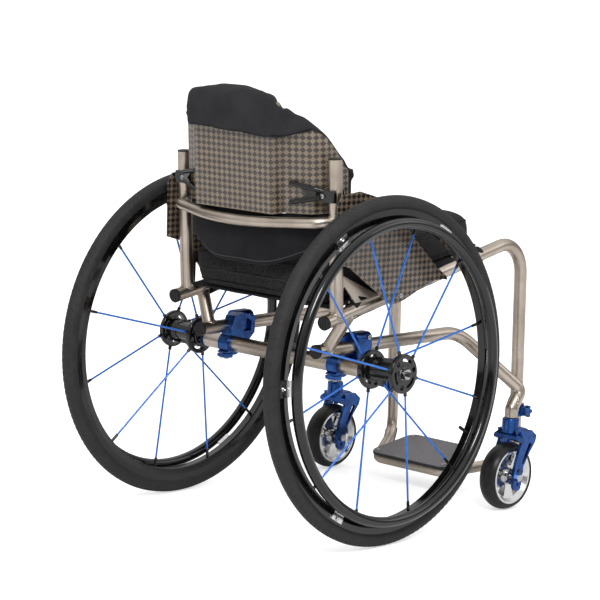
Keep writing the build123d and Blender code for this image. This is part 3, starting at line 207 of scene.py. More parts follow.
def woven_composite(name, across, up, light, dark, coordinates=None):
    """Clear-coated weave of pale and dark squares set on their corners. across and up give the tile axes."""
    m = Tree(name)
    place = coordinates(m) if coordinates else m.place
    s = m.dot(place, tuple(across[k] / 0.0123 + up[k] / 0.0105 for k in range(3)))
    t = m.dot(place, tuple(across[k] / 0.0123 - up[k] / 0.0105 for k in range(3)))
    cell = m.add("ShaderNodeCombineXYZ", {"X": s, "Y": t, "Z": 0.5}).outputs[0]
    checker = m.add("ShaderNodeTexChecker", {"Vector": cell, "Scale": 1.0}).outputs["Fac"]
    random = m.add("ShaderNodeTexWhiteNoise", {"Vector": m.add(
        "ShaderNodeVectorMath", {0: cell}, operation="FLOOR").outputs[0]}).outputs["Value"]
    fibre_s = m.math("SINE", m.math("MULTIPLY", s, 2 * pi * 7))
    fibre_t = m.math("SINE", m.math("MULTIPLY", t, 2 * pi * 7))
    fibre = m.add("ShaderNodeMix", {"Factor": checker, "A": fibre_s, "B": fibre_t}).outputs["Result"]
    shade = m.math("MULTIPLY_ADD", fibre, 0.10, m.math("MULTIPLY", random, 0.22))
    pale = m.mix(shade, light, dark)
    deep = m.mix(shade, dark, tuple(0.55 * v for v in dark[:3]) + (1,))
    m.set("Base Color", m.mix(checker, deep, pale))
    edge = m.math("MINIMUM", m.math("PINGPONG", s, 0.5), m.math("PINGPONG", t, 0.5))
    pillow = m.ramp(edge, 0.0, 0.16)
    m.set("Roughness", m.ramp(checker, 0, 1, 0.34, 0.42))
    m.set("Coat Weight", 0.55)
    m.set("Coat Roughness", 0.12)
    m.bump(m.math("MULTIPLY_ADD", fibre, 0.12, pillow), 0.35, 0.0003)
    return m.material


def shell_map(m):
    """Distance round the back shell and height, in metres."""
    return m.add("ShaderNodeUVMap", uv_map="weave").outputs["UV"]


def spacer_mesh():
    """Black open mesh cloth with rows of small holes, painted near black inside as shade."""
    m = Tree("spacer_mesh_cloth")
    holes = m.cells(330)
    # Mask of the holes: the base colour paints them near black as painted shade inside them.
    hole_shade = m.ramp(holes, 0.28, 0.52, 1.0, 0.0)
    patch = m.noise(25, 4)
    m.set("Base Color", m.mix(hole_shade, m.mix(patch, srgb(50, 48, 50), srgb(38, 37, 39)), srgb(9, 9, 10)))
    m.set("Roughness", 0.86)
    m.set("Sheen Weight", 0.05)
    m.set("Specular IOR Level", 0.15)
    m.set("Sheen Roughness", 0.5)
    m.bump(m.ramp(holes, 0.2, 0.6), 0.8, 0.0008)
    return m.material


def knit_cloth(name, colour, deep, scale=900):
    """Stretch knit: fine crossed ribs, soft sheen and a little lint."""
    m = Tree(name)
    ribs = m.math("SINE", m.dot(m.place, (scale * 2, scale * 0.6, 0)))
    rows = m.math("SINE", m.dot(m.place, (0, scale * 0.7, scale * 2.2)))
    knit = m.math("MULTIPLY", ribs, rows)
    lint = m.ramp(m.cells(240), 0.0, 0.06, 1.0, 0.0)
    base = m.mix(m.ramp(m.noise(18, 5), 0.3, 0.7), colour, deep)
    m.set("Base Color", m.mix(m.math("MULTIPLY", lint, 0.10), base, srgb(150, 150, 150)))
    m.set("Roughness", 0.9)
    m.set("Sheen Weight", 0.06)
    m.set("Specular IOR Level", 0.12)
    m.set("Sheen Roughness", 0.45)
    weave = m.bump(knit, 0.25, 0.0003)
    m.bump(m.noise(60, 4), 0.18, 0.002, weave)
    return m.material


def webbing():
    """Tightly woven nylon sheet with a visible twill; its grooves are painted darker as shade."""
    m = Tree("nylon_webbing")
    twill = m.math("SINE", m.dot(m.place, (2600, 1900, 0)))
    # Painted shade: the base colour is darker in the twill's grooves and lighter on its ridges.
    m.set("Base Color", m.mix(m.ramp(twill, -1, 1), srgb(22, 22, 24), srgb(40, 40, 43)))
    m.set("Roughness", 0.8)
    m.set("Sheen Weight", 0.05)
    m.set("Specular IOR Level", 0.15)
    m.bump(twill, 0.35, 0.0004)
    return m.material


def grit():
    """Coarse grip tape: pale and dark grains."""
    m = Tree("grip_tape")
    grains = m.noise(1500, 2, roughness=0.8)
    m.set("Base Color", m.mix(m.ramp(grains, 0.38, 0.62), srgb(70, 68, 72), srgb(158, 155, 158)))
    m.set("Roughness", 0.85)
    m.bump(grains, 0.9, 0.0008)
    return m.material


def powder_coat():
    m = Tree("black_powder_coat", srgb(24, 24, 25), 0.45)
    m.set("Roughness", m.ramp(m.noise(70, 4), 0.3, 0.7, 0.36, 0.55))
    m.bump(m.noise(1600, 2), 0.3, 0.0003)
    return m.material


def stitching():
    m = Tree("thread", srgb(34, 34, 36), 0.8)
    m.set("Base Color", m.mix(m.noise(900), srgb(28, 28, 30), srgb(60, 60, 63)))
    m.bump(m.noise(2500), 0.3, 0.0003)
    return m.material


TAN = srgb(134, 119, 100)
BROWN = srgb(56, 48, 45)
finish = {
    "titanium": titanium(),
    "weld": weld_metal(),
    "black_rubber": rubber("black_rubber", 22, 0.5),
    "tyre_rubber": rubber("tyre_rubber", 34, 0.6),
    "caster_rubber": rubber("caster_rubber", 20, 0.34),
    "black_anodised": gloss_black("black_anodised"),
    "rim_black": gloss_black("rim_black", 8, 0.12),
    "blue_anodised": anodised("blue_anodised", srgb(34, 84, 158), srgb(20, 56, 112)),
    "azure": spoke_blue(),
    "silver": bright_metal("polished_aluminium", srgb(225, 225, 226)),
    "steel": bright_metal("plated_steel", srgb(190, 190, 193), 0.22),
    "guard_weave": woven_composite("guard_weave", (0, 1, 0), (0, 0, 1), srgb(126, 109, 92), srgb(26, 22, 21)),
    "shell_weave": woven_composite("shell_weave", (1, 0, 0), (0, 1, 0), TAN, BROWN, shell_map),
    "mesh": spacer_mesh(),
    "charcoal": knit_cloth("charcoal_knit", srgb(52, 51, 54), srgb(40, 39, 42)),
    "black_cloth": knit_cloth("black_knit", srgb(36, 35, 38), srgb(26, 25, 28)),
    "webbing": webbing(),
    "grit": grit(),
    "powder_coat": powder_coat(),
    "thread": stitching(),
}

NODE_FINISH = {
    "frame_weldment": "titanium", "camber_tube": "titanium", "footrest_tube": "titanium",
    "cane_clamps": "black_anodised", "rail_end_caps": "black_rubber", "cane_caps": "black_rubber",
    "bend_guards": "black_rubber", "camber_plugs": "blue_anodised", "axle_clamps": "blue_anodised",
    "axle_clamp_caps": "blue_anodised", "clamp_bolts": "steel", "footrest_clamps": "blue_anodised",
    "caster_stems": "steel", "seat_sling": "webbing", "sling_screws": "steel", "guard_screws": "steel",
    "side_guard": "guard_weave", "footplate": "powder_coat", "footplate_grip": "grit",
    "footplate_screws": "steel", "cane_clamp_screws": "steel", "back_shell": "shell_weave",
    "back_pad": "charcoal", "seat_cushion": "mesh",
    "rear_tyre": "tyre_rubber", "inner_tube": "black_rubber", "rim": "rim_black", "spokes": "azure",
    "spoke_fittings": "black_anodised", "hub": "black_anodised", "hub_bearings": "steel",
    "pushrim": "rim_black", "pushrim_tabs": "silver", "quick_release_axle": "steel",
    "release_button": "black_anodised", "caster_fork": "blue_anodised", "swivel_bearings": "steel",
    "caster_axle": "steel", "caster_wheel": "silver", "caster_tyre": "caster_rubber",
    "caster_bearings": "steel",
}


def paint(obj, name):
    obj.data.materials.clear()
    obj.data.materials.append(finish[name])


def paint_frame():
    for name, obj in nodes.items():
        plain = name.removesuffix("_left").removesuffix("_right")
        paint(obj, NODE_FINISH[plain])


paint_frame()




# ---- mesh helpers ------------------------------------------------------------------------------
def new_piece(name, vertices, faces, finish_name, body, slot):
    """A smooth-shaded mesh that rides on a body."""
    mesh = bpy.data.meshes.new(name)
    mesh.from_pydata([tuple(v) for v in vertices], [], faces)
    mesh.validate()
    mesh.materials.append(finish[finish_name])
    mesh.shade_smooth()
    obj = bpy.data.objects.new(name, mesh)
    bpy.context.collection.objects.link(obj)
    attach(obj, body)
    return obj


def loft(loops, closed=False):
    """Vertices and faces of a skin through closed loops, with flat end caps unless the row closes."""
    count = len(loops[0])
    vertices = [p for loop in loops for p in loop]
    rows = len(loops) if closed else len(loops) - 1
    faces = []
    for i in range(rows):
        a, b = i * count, (i + 1) % len(loops) * count
        faces += [(a + k, a + (k + 1) % count, b + (k + 1) % count, b + k) for k in range(count)]
    if not closed:
        faces.append(tuple(reversed(range(count))))
        last = (len(loops) - 1) * count
        faces.append(tuple(range(last, last + count)))
    return vertices, faces


def carried_frames(path, closed):
    """A pair of cross directions at each point of a path, turned as little as possible along it."""
    n = len(path)
    frames = []
    side = None
    for i, p in enumerate(path):
        after = path[(i + 1) % n] if closed or i < n - 1 else p
        before = path[i - 1] if closed or i > 0 else p
        along = (after - before).normalized()
        if side is None:
            side = along.orthogonal()
        side = (side - along * side.dot(along)).normalized()
        frames.append((side.copy(), along.cross(side)))
    return frames


def cord(path, radius, closed=False, sides=10, ripple=None):
    """Vertices and faces of a round cord along points. ripple(i) scales the radius at point i."""
    loops = []
    for i, (side, up) in enumerate(carried_frames(path, closed)):
        r = radius * (ripple(i) if ripple else 1.0)
        loops.append([path[i] + (side * cos(2 * pi * k / sides) + up * sin(2 * pi * k / sides)) * r
                      for k in range(sides)])
    return loft(loops, closed)


def joined(parts):
    """One vertex and face list from several."""
    vertices, faces = [], []
    for more, their_faces in parts:
        start = len(vertices)
        vertices += list(more)
        faces += [tuple(start + k for k in face) for face in their_faces]
    return vertices, faces


def outward(obj):
    """Turns every face of a closed mesh to the outside."""
    shape = bmesh.new()
    shape.from_mesh(obj.data)
    bmesh.ops.recalc_face_normals(shape, faces=shape.faces)
    shape.to_mesh(obj.data)
    shape.free()


def apply_modifiers(obj):
    """Bakes the modifiers into the mesh."""
    graph = bpy.context.evaluated_depsgraph_get()
    baked = bpy.data.meshes.new_from_object(obj.evaluated_get(graph))
    old = obj.data
    obj.modifiers.clear()
    obj.data = baked
    bpy.data.meshes.remove(old)


def remesh(obj, voxel):
    made = obj.modifiers.new("remesh", "REMESH")
    made.mode = "VOXEL"
    made.voxel_size = voxel
    made.use_smooth_shade = True
    apply_modifiers(obj)


def relax(obj, rounds, factor=0.5):
    made = obj.modifiers.new("relax", "SMOOTH")
    made.iterations = rounds
    made.factor = factor
    apply_modifiers(obj)


def inflate(obj, pressure, cap, held=None, frames=20):
    """Swells a closed mesh as cloth under air pressure; no point moves further than cap, or where held."""
    rest = [v.co.copy() for v in obj.data.vertices]
    cloth = obj.modifiers.new("cloth", "CLOTH")
    cloth.settings.use_pressure = True
    cloth.settings.uniform_pressure_force = pressure
    cloth.settings.effector_weights.gravity = 0
    cloth.settings.tension_stiffness = 12
    cloth.settings.compression_stiffness = 12
    cloth.settings.bending_stiffness = 0.6
    cloth.point_cache.frame_end = frames
    for step in range(1, frames + 1):
        bpy.context.scene.frame_set(step)
    graph = bpy.context.evaluated_depsgraph_get()
    swollen = [v.co.copy() for v in obj.evaluated_get(graph).data.vertices]
    obj.modifiers.clear()
    bpy.context.scene.frame_set(1)
    for vertex, start, end in zip(obj.data.vertices, rest, swollen):
        move = end - start
        if held and held(start):
            continue
        if move.length > cap:
            move *= cap / move.length
        vertex.co = start + move


def refine(obj, levels=1):
    made = obj.modifiers.new("subdivision", "SUBSURF")
    made.levels = levels
    made.render_levels = levels
    apply_modifiers(obj)
    obj.data.shade_smooth()


def on_surface(obj, point):
    """Nearest point of a mesh, and the surface's direction there."""
    _, place, normal, _ = obj.closest_point_on_mesh(point)
    return place, normal


def surface_cord(name, obj, points, radius, finish_name, body, slot, closed=True, sink=0.3, ripple=None):
    """Piping laid on a mesh along the nearest points of a rough path."""
    path = []
    for p in points:
        place, normal = on_surface(obj, p)
        path.append(place - normal * radius * sink)
    for _ in range(2):
        n = len(path)
        span = range(n) if closed else range(1, n - 1)
        moved = {i: (path[i - 1] + path[i] * 2 + path[(i + 1) % n]) / 4 for i in span}
        path = [moved.get(i, p) for i, p in enumerate(path)]
    made = new_piece(name, *cord(path, radius, closed, 8, ripple), finish_name, body, slot)
    outward(made)
    return made


# ---- seat frame --------------------------------------------------------------------------------
def frame_matrix(origin, x, y, z):
    turn = Matrix((x, y, z)).transposed().to_4x4()
    return Matrix.Translation(origin) @ turn


SEAT_UP = Vector((1, 0, 0)).cross(-SEAT_FORWARD)
SEAT = frame_matrix(Vector((0, AXLE_Y, 0)), Vector((1, 0, 0)), -SEAT_FORWARD, SEAT_UP)


def local_box(node, matrix):
    """Lowest and highest corners of a CAD node in a turned frame."""
    inverse = matrix.inverted()
    points = [inverse @ v.co for v in nodes[node].data.vertices]
    return [Vector([pick(p[k] for p in points) for k in range(3)]) for pick in (min, max)]


def rounded_outline(half_x, low_y, high_y, count):
    """Points round a rectangle with round corners, counter-clockwise from above."""
    mid, half_y = (low_y + high_y) / 2, (high_y - low_y) / 2
    points = []
    for k in range(count):
        angle = 2 * pi * k / count
        power = 2 / 15
        x = abs(cos(angle)) ** power * (1 if cos(angle) >= 0 else -1)
        y = abs(sin(angle)) ** power * (1 if sin(angle) >= 0 else -1)
        points.append((x * half_x, mid + y * half_y))
    return points




# ---- seat cushion ------------------------------------------------------------------------------
def cushion_height(x, y, half_x, low_y, high_y):
    """Rise of the cushion's top: crowned, with two shallow leg troughs that open to the front."""
    forward = (high_y - y) / (high_y - low_y)
    across = x / half_x
    crown = 0.006 * (1 - across ** 4)
    trough = 0.007 * forward * exp(-((abs(across) - 0.5) / 0.26) ** 2)
    nose = 0.012 * max(0.0, forward - 0.86) / 0.14
    return crown - trough - nose


def seat_cushion():
    """Foam cushion in an open-mesh cover: crowned top, side band, piping and a zip across the back."""
    low, high = local_box("seat_cushion", SEAT)
    inset = 0.003
    profile = [
        (0.040, 0.0), (0.012, 0.001), (0.004, 0.006), (0.001, 0.022), (0.0, 0.040),
        (0.001, 0.056), (0.005, 0.066), (0.014, 0.072), (0.040, 0.073), (0.090, 0.073),
    ]
    thickness = high.z - low.z
    loops = []
    for pull, z in profile:
        pull += inset
        ring = rounded_outline(high.x - pull, low.y + pull, high.y - pull, 120)
        height = low.z + z * thickness / 0.078
        share = max(0.0, (z - 0.04) / 0.033)
        loops.append([SEAT @ Vector((x, y, height + share * cushion_height(x, y, high.x, low.y, high.y)))
                      for x, y in ring])
    cover = new_piece("cushion_cover", *loft(loops), "mesh", "cushion", "mesh_fabric")
    outward(cover)
    remesh(cover, 0.005)
    into_seat = SEAT.inverted()
    inflate(cover, 4.0, 0.007, lambda point: (into_seat @ point).z < low.z + 0.004)
    relax(cover, 3)
    refine(cover)
    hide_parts("seat_cushion")
    for name, z in (("cushion_piping_top", 0.066), ("cushion_piping_bottom", 0.008)):
        height = low.z + z * thickness / 0.078
        ring = rounded_outline(high.x, low.y, high.y, 220)
        share = max(0.0, (z - 0.04) / 0.033)
        path = [SEAT @ Vector((x, y, height + share * cushion_height(x, y, high.x, low.y, high.y)))
                for x, y in ring]
        surface_cord(name, cover, path, 0.0021, "black_cloth", "cushion", "mesh_fabric")
    zip_height = low.z + 0.034
    span = [SEAT @ Vector((x / 40 * high.x * 0.9, high.y, zip_height)) for x in range(-40, 41)]
    surface_cord("cushion_zip", cover, span, 0.0026, "black_rubber", "cushion", "mesh_fabric",
                 closed=False, ripple=lambda i: 1.0 if i % 2 else 0.72)
    front_flap(low, high)


def front_flap(low, high):
    """Flat tongue of the cushion's base cloth that stands forward of the foam."""
    rows, columns = 10, 40
    half = high.x - 0.012
    vertices = []
    for side in (0, 1):
        for i in range(rows + 1):
            reach = 0.018 * i / rows
            for k in range(columns + 1):
                x = (2 * k / columns - 1) * half
                corner = 0.006 * (abs(x) / half) ** 8
                wave = 0.0012 * sin(x * 70 + i * 0.5)
                y = low.y + 0.012 - reach + corner * i / rows
                z = low.z + 0.0035 - side * 0.0024 + wave * i / rows
                vertices.append(SEAT @ Vector((x, y, z)))
    step = columns + 1
    layer = (rows + 1) * step
    faces = []
    for i in range(rows):
        for k in range(columns):
            a = i * step + k
            faces.append((a, a + 1, a + 1 + step, a + step))
            faces.append((layer + a, layer + a + step, layer + a + 1 + step, layer + a + 1))
    border = [k for k in range(step)] + [i * step + columns for i in range(1, rows + 1)]
    border += [rows * step + k for k in range(columns - 1, -1, -1)]
    border += [i * step for i in range(rows - 1, 0, -1)]
    for a, b in zip(border, border[1:] + border[:1]):
        faces.append((b, a, layer + a, layer + b))
    flap = new_piece("cushion_base_flap", vertices, faces, "webbing", "cushion", "mesh_fabric")
    outward(flap)


# ---- seat sling --------------------------------------------------------------------------------
def rail_line(side):
    """Centre x of a seat rail as a function of the seat frame's y."""
    rear_x, rear_y = 0.1832, 0.0945
    front_x, length = 0.155, 0.5785
    return lambda y: side * (rear_x + (rear_y - y) / length * (front_x - rear_x))


def sling_sheet():
    """Nylon sheet between the seat rails, sagging a little, with rolled hems and rows of stitching."""
    low, high = local_box("seat_sling", SEAT)
    rows, columns = 84, 60
    centre_z = (low.z + high.z) / 2

    def place(u, v, lift):
        y = low.y + v * (high.y - low.y)
        edge = min(abs(rail_line(1)(y)) - 0.004, 0.169 if y > 0.045 else 1)
        x = (2 * u - 1) * edge
        sag = 0.005 * (1 - (2 * u - 1) ** 2) * sin(pi * min(1, max(0, v * 0.9 + 0.05)))
        hem = 0.0012 * (exp(-((v - 0.02) / 0.02) ** 2) + exp(-((v - 0.98) / 0.02) ** 2))
        wrinkle = 0.0008 * noise.noise(Vector((x * 25, y * 9, 0)))
        return SEAT @ Vector((x, y, centre_z - sag + wrinkle + lift * (0.0011 + hem)))

    loops = []
    for j in range(rows + 1):
        v = j / rows
        top = [place(k / columns, v, 1) for k in range(columns + 1)]
        bottom = [place(k / columns, v, -1) for k in range(columns, -1, -1)]
        loops.append(top + bottom)
    sheet = new_piece("sling_sheet", *loft(loops), "webbing", "frame", "seat_fabric")
    outward(sheet)
    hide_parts("seat_sling")
    threads = []
    for v in (0.035, 0.05, 0.95, 0.965):
        threads.append(stitch_row([place(k / 150, v, -1.25) for k in range(3, 148)]))
    for u in (0.06, 0.075, 0.925, 0.94):
        threads.append(stitch_row([place(u, k / 150, -1.25) for k in range(4, 147)]))
    stitches = new_piece("sling_stitching", *joined(threads), "thread", "frame", "seat_fabric")
    outward(stitches)


def stitch_row(path):
    """Short raised dashes of thread along a path."""
    dashes = []
    for i in range(0, len(path) - 2, 3):
        dashes.append(cord(path[i:i + 3], 0.0005, sides=5))
    return joined(dashes)


def sling_sleeve(side, word):
    """The sling's edge wrapped round the seat rail in front of the gusset."""
    start, finish_y = -0.056, local_box("seat_sling", SEAT)[0].y - 0.004
    rows, sides = 90, 40
    rail = rail_line(side)
    outer, inner = [], []
    for i in range(rows + 1):
        y = start + (finish_y - start) * i / rows
        flare = 0.0012 * exp(-(i / 2.5) ** 2) + 0.0016 * exp(-((rows - i) / 3.0) ** 2)
        ring_out, ring_in = [], []
        for k in range(sides):
            angle = 2 * pi * k / sides
            fold = 0.0007 * noise.noise(Vector((cos(angle) * 1.6, sin(angle) * 1.6, y * 38)))
            slack = 0.0016 * exp(-((angle - 1.5 * pi) / 0.5) ** 2)
            r = FRAME_TUBE_R + 0.0021 + flare + fold + slack
            ring_out.append(SEAT @ Vector((rail(y) + r * cos(angle), y, RAIL_Z + r * sin(angle))))
            r = FRAME_TUBE_R + 0.0002
            ring_in.append(SEAT @ Vector((rail(y) + r * cos(angle), y, RAIL_Z + r * sin(angle))))
        outer.append(ring_out)
        inner.append(ring_in)
    shell, faces = loft(outer + inner[::-1], closed=True)
    sleeve = new_piece(f"sling_sleeve_{word}", shell, faces, "webbing", "frame", "seat_fabric")
    outward(sleeve)


seat_cushion()
RAIL_Z = local_box("seat_sling", SEAT)[0].z - 0.3e-3 - FRAME_TUBE_R
sling_sheet()
sling_sleeve(1, "left")
sling_sleeve(-1, "right")


# ---- back support ------------------------------------------------------------------------------
BACK_Y = Vector((1, 0, 0)).cross(BACK_UP) * -1
BACK_ORIGIN = Vector((0, AXLE_Y + 0.0832, 0.6128))  # between the back tubes at the clamps
BACK = frame_matrix(BACK_ORIGIN, Vector((1, 0, 0)), BACK_Y, BACK_UP)


def node_tree(node):
    """Ray-casting tree of a CAD node in the back frame."""
    inverse = BACK.inverted()
    mesh = nodes[node].data
    points = [inverse @ v.co for v in mesh.vertices]
    return BVHTree.FromPolygons(points, [tuple(p.vertices) for p in mesh.polygons])


def unwrap_shell():
    """Gives the shell a UV map in metres: distance round its outer surface, and height."""
    mesh = nodes["back_shell"].data
    layer = mesh.uv_layers.new(name="weave")
    inverse = BACK.inverted()
    turns = shell_turns()
    for loop in mesh.loops:
        p = inverse @ mesh.vertices[loop.vertex_index].co
        layer.data[loop.index].uv = (distance_round(turns, p), p.z)


def shell_turns():
    """Corners of the shell's outer plan outline on the left half, found by casting rays from inside."""
    tree = node_tree("back_shell")
    hub = Vector((0, -0.052, -0.020))
    outline = []
    for k in range(181):
        angle = radians(k * 0.5)
        way = Vector((sin(angle), cos(angle), 0))
        start = hub + way * 0.4
        hit = tree.ray_cast(start, -way)[0]
        if hit:
            outline.append(Vector((hit.x, hit.y)))
    return outline


def distance_round(outline, p):
    """Arc length from the centre plane to the outline point nearest p."""
    target = Vector((abs(p.x), p.y))
    best, where, run = 1e9, 0.0, 0.0
    for a, b in zip(outline, outline[1:]):
        step = b - a
        length = step.length
        if length < 1e-9:
            continue
        t = min(1.0, max(0.0, (target - a).dot(step) / length ** 2))
        gap = (a + step * t - target).length
        if gap < best:
            best, where = gap, run + t * length
        run += length
    return where if p.x >= 0 else -where



def filled(values):
    """Missing samples take the value of the nearest sample that was found."""
    known = [i for i, v in enumerate(values) if v is not None]
    nearest = [min(known, key=lambda k: abs(k - i)) for i in range(len(values))]
    return [values[k] for k in nearest]


def softened(values, rounds):
    last = len(values) - 1
    for _ in range(rounds):
        values = [(values[max(0, i - 1)] + 2 * v + values[min(last, i + 1)]) / 4
                  for i, v in enumerate(values)]
    return values


def angles(limit, steps):
    return [radians(limit) * (2 * i / steps - 1) for i in range(steps + 1)]


def sitter(angle, reach, height):
    """Back-frame point at an angle and distance round the vertical line in front of the shell."""
    return BACK_HUB + Vector((sin(angle) * reach, cos(angle) * reach, height))


def reach_from(tree, angle, height, inward):
    """Distance of a surface from the hub line, met from outside or from inside."""
    start = sitter(angle, 0.4 if inward else 0.02, height)
    way = sitter(angle, 1, 0) - sitter(angle, 0, 0)
    hit = tree.ray_cast(start, -way if inward else way)[0]
    return Vector((hit.x, hit.y - BACK_HUB.y)).length if hit else None


def level_at(tree, angle, reach, upward):
    """Height of a surface met from below or from above."""
    start = sitter(angle, reach, -0.4 if upward else 0.4)
    hit = tree.ray_cast(start, Vector((0, 0, 1 if upward else -1)))[0]
    return hit.z if hit else None


def back_samples(limit, steps):
    """Plan reach of the shell's outside, its top edge and the cover's top edge, by angle."""
    shell, pad = node_tree("back_shell"), node_tree("back_pad")
    span = angles(limit, steps)
    reach = filled([reach_from(shell, a, -0.020, True) for a in span])
    shell_top = filled([level_at(shell, a, r - 0.0015, False) for a, r in zip(span, reach)])
    cover_top = filled([level_at(pad, a, r - 0.012, False) for a, r in zip(span, reach)])
    cover_top = [crown_line(a, r, top) for a, r, top in zip(span, reach, softened(cover_top, 3))]
    return span, reach, softened(reach, 30), softened(shell_top, 2), cover_top


def crown_line(angle, reach, top):
    """The cover's upper edge: plump beside the folds, and falling toward the wings' front ends."""
    x = abs(sin(angle) * reach)
    y = BACK_HUB.y + cos(angle) * reach
    plump = 0.011 * exp(-((x - 0.113) / 0.013) ** 2) + 0.009 * exp(-((x - 0.140) / 0.018) ** 2)
    return min(top + plump, 0.056 + (y + 0.045) * 1.45) if y < -0.035 else top + plump


def band_edge(x):
    """Height of the cover's lower edge on the shell's outside: it climbs a little along the wings."""
    return 0.102 + 0.052 * max(-0.096, min(0.096, x)) + 0.2 * max(0.0, abs(x) - 0.096)


def cover_section(angle, reach, bridge, shell_top, cover_top):
    """One upright slice of the back cover: a J over the shell's edge with the padding in front."""
    x = sin(angle) * reach
    inside = max(0.0, min(1.0, (0.160 - abs(x)) / 0.050))
    edge = min(band_edge(x), shell_top + 0.001)
    stand = max(0.0, bridge - reach) + 0.0022 + 0.0080 * inside
    low = PAD_LOW
    middle = (low + cover_top) / 2
    outline = [
        (0.0008, edge), (stand, edge), (stand + 0.002 * inside, (edge + cover_top) / 2),
        (stand, cover_top - 0.011), (stand * 0.5, cover_top - 0.003), (-0.006, cover_top),
        (-0.015, cover_top - 0.002), (-0.0215, cover_top - 0.009), (-0.0235, cover_top - 0.022),
        (-0.025, middle), (-0.0235, low + 0.012), (-0.019, low + 0.001), (-0.008, low),
        (-0.0037, low + 0.004), (-0.0037, shell_top + 0.0008), (0.0008, shell_top + 0.0006),
    ]
    return [BACK @ sitter(angle, reach + o, h) for o, h in outline]


def cover_cloth(obj, samples):
    """Open mesh on the front face, charcoal knit everywhere else."""
    obj.data.materials.append(finish["mesh"])
    inverse = BACK.inverted()
    span, reach, _, _, top = samples
    step = span[1] - span[0]
    for face in obj.data.polygons:
        p = inverse @ face.center - BACK_HUB
        angle = atan2(p.x, p.y)
        i = max(0, min(len(span) - 1, round((angle - span[0]) / step)))
        front = hypot(p.x, p.y) < reach[i] - 0.019
        if front and PAD_LOW + 0.010 < p.z < top[i] - 0.024 and abs(angle) < radians(84):
            face.material_index = 1


def beside_shell(samples):
    """A test for points that lie against the shell's faces or its edge."""
    inverse = BACK.inverted()
    span, reach, _, shell_top, _ = samples
    step = span[1] - span[0]

    def against(point):
        p = inverse @ point - BACK_HUB
        i = max(0, min(len(span) - 1, round((atan2(p.x, p.y) - span[0]) / step)))
        out = hypot(p.x, p.y) - reach[i]
        return -0.0085 < out < 0.0035 and p.z < shell_top[i] + 0.002

    return against


def back_cover():
    """Stretch cover over the shell's upper edge, padded in front, with piping along its borders."""
    samples = back_samples(88, 176)
    cover = new_piece("back_cover", *loft([cover_section(*s) for s in zip(*samples)]), "charcoal",
                      "back_support", "charcoal_fabric")
    outward(cover)
    remesh(cover, 0.0035)
    inflate(cover, 4.0, 0.005, beside_shell(samples))
    relax(cover, 4)
    refine(cover)
    cover_cloth(cover, samples)
    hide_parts("back_pad")
    rows = list(zip(*samples))
    middle = [s for s in rows if abs(sin(s[0]) * s[1]) < 0.148]
    edge = [BACK @ sitter(a, max(r, b) + 0.012, band_edge(sin(a) * r) + 0.001) for a, r, b, _, _ in middle]
    surface_cord("back_piping_band", cover, edge, 0.0017, "black_cloth", "back_support", "charcoal_fabric",
                 closed=False)
    rim_line = [BACK @ sitter(a, r - 0.025, t - 0.023) for a, r, _, _, t in rows[3:-3]]
    surface_cord("back_piping_front", cover, rim_line, 0.0018, "black_cloth", "back_support",
                 "charcoal_fabric", closed=False)
    hem_line = [BACK @ sitter(a, r - 0.025, PAD_LOW + 0.011) for a, r, _, _, _ in rows[3:-3]]
    surface_cord("back_piping_low", cover, hem_line, 0.0016, "black_cloth", "back_support",
                 "charcoal_fabric", closed=False)
    return cover


def roll_section(angle, outer, inner, hem):
    """One upright slice of the roll below the shell, plumper toward its hem."""
    top = PAD_LOW + 0.001
    middle = (top + hem) / 2
    outer += 0.006 * sin(angle) ** 6
    wave = 0.0009 * noise.noise(Vector((angle * 6, 0, 3)))
    outline = [
        (inner + 0.002, top), (inner, top - 0.010), (inner - 0.001, middle), (inner, hem + 0.012),
        (inner + 0.0035, hem + 0.003), ((inner + outer) / 2, hem), (outer - 0.0035, hem + 0.003),
        (outer + wave, hem + 0.014), (outer + wave, middle),
        (outer - 0.0004, top - 0.012), (outer - 0.002, top),
    ]
    return [BACK @ sitter(angle, reach, h) for reach, h in outline]


def back_roll():
    """Soft roll of the cover that hangs below the shell, with a bound hem."""
    pad = node_tree("back_pad")
    span = angles(76, 120)
    outer = softened(filled([reach_from(pad, a, -0.070, True) for a in span]), 2)
    inner = softened(filled([reach_from(pad, a, -0.070, False) for a in span]), 2)
    hem = softened(filled([level_at(pad, a, (p + q) / 2, True) for a, p, q in zip(span, outer, inner)]), 2)
    rows = list(zip(span, outer, inner, hem))
    roll = new_piece("back_roll", *loft([roll_section(*row) for row in rows]), "black_cloth",
                     "back_support", "charcoal_fabric")
    outward(roll)
    remesh(roll, 0.0035)
    inflate(roll, 4.0, 0.0012)
    relax(roll, 3)
    refine(roll)
    hem_line = [BACK @ sitter(a, p + 0.003, h + 0.010) for a, p, q, h in rows[2:-2]]
    surface_cord("roll_binding", roll, hem_line, 0.0014, "thread", "back_support", "charcoal_fabric",
                 closed=False)


BACK_HUB = Vector((0, -0.072, 0))
PAD_LOW = -0.039
unwrap_shell()
back_cover()
back_roll()


# ---- tyres -------------------------------------------------------------------------------------
def wheel_matrix(side, word):
    """Wheel frame: Z points outboard along the axle."""
    joint = joints[f"{word}_wheel_spin"]
    axis = Vector(joint["axis"])
    axis = axis if axis.x * side > 0 else -axis
    fore = Vector((0, 1, 0))
    return frame_matrix(Vector(joint["pos_m"]), fore, axis.cross(fore).normalized(), axis)


def tread_depth(turn, across):
    """Groove depth of the herringbone shoulders; the middle band is a plain rib with two fine slits."""
    size = abs(across)
    if size > 0.0118 or size < 0.0012:
        return 0.0
    if size < 0.0036:
        return 0.0006 * exp(-((size - 0.0026) / 0.0005) ** 2)
    phase = (turn * TREAD_BLOCKS / (2 * pi) + (size - 0.0036) / 0.0105 + (0.5 if across > 0 else 0)) % 1
    groove = max(0.0, 1 - abs(phase - 0.5) / 0.17)
    fade = min(1.0, (0.0118 - size) / 0.0012)
    return 0.0010 * fade * min(1.0, groove * 1.8)


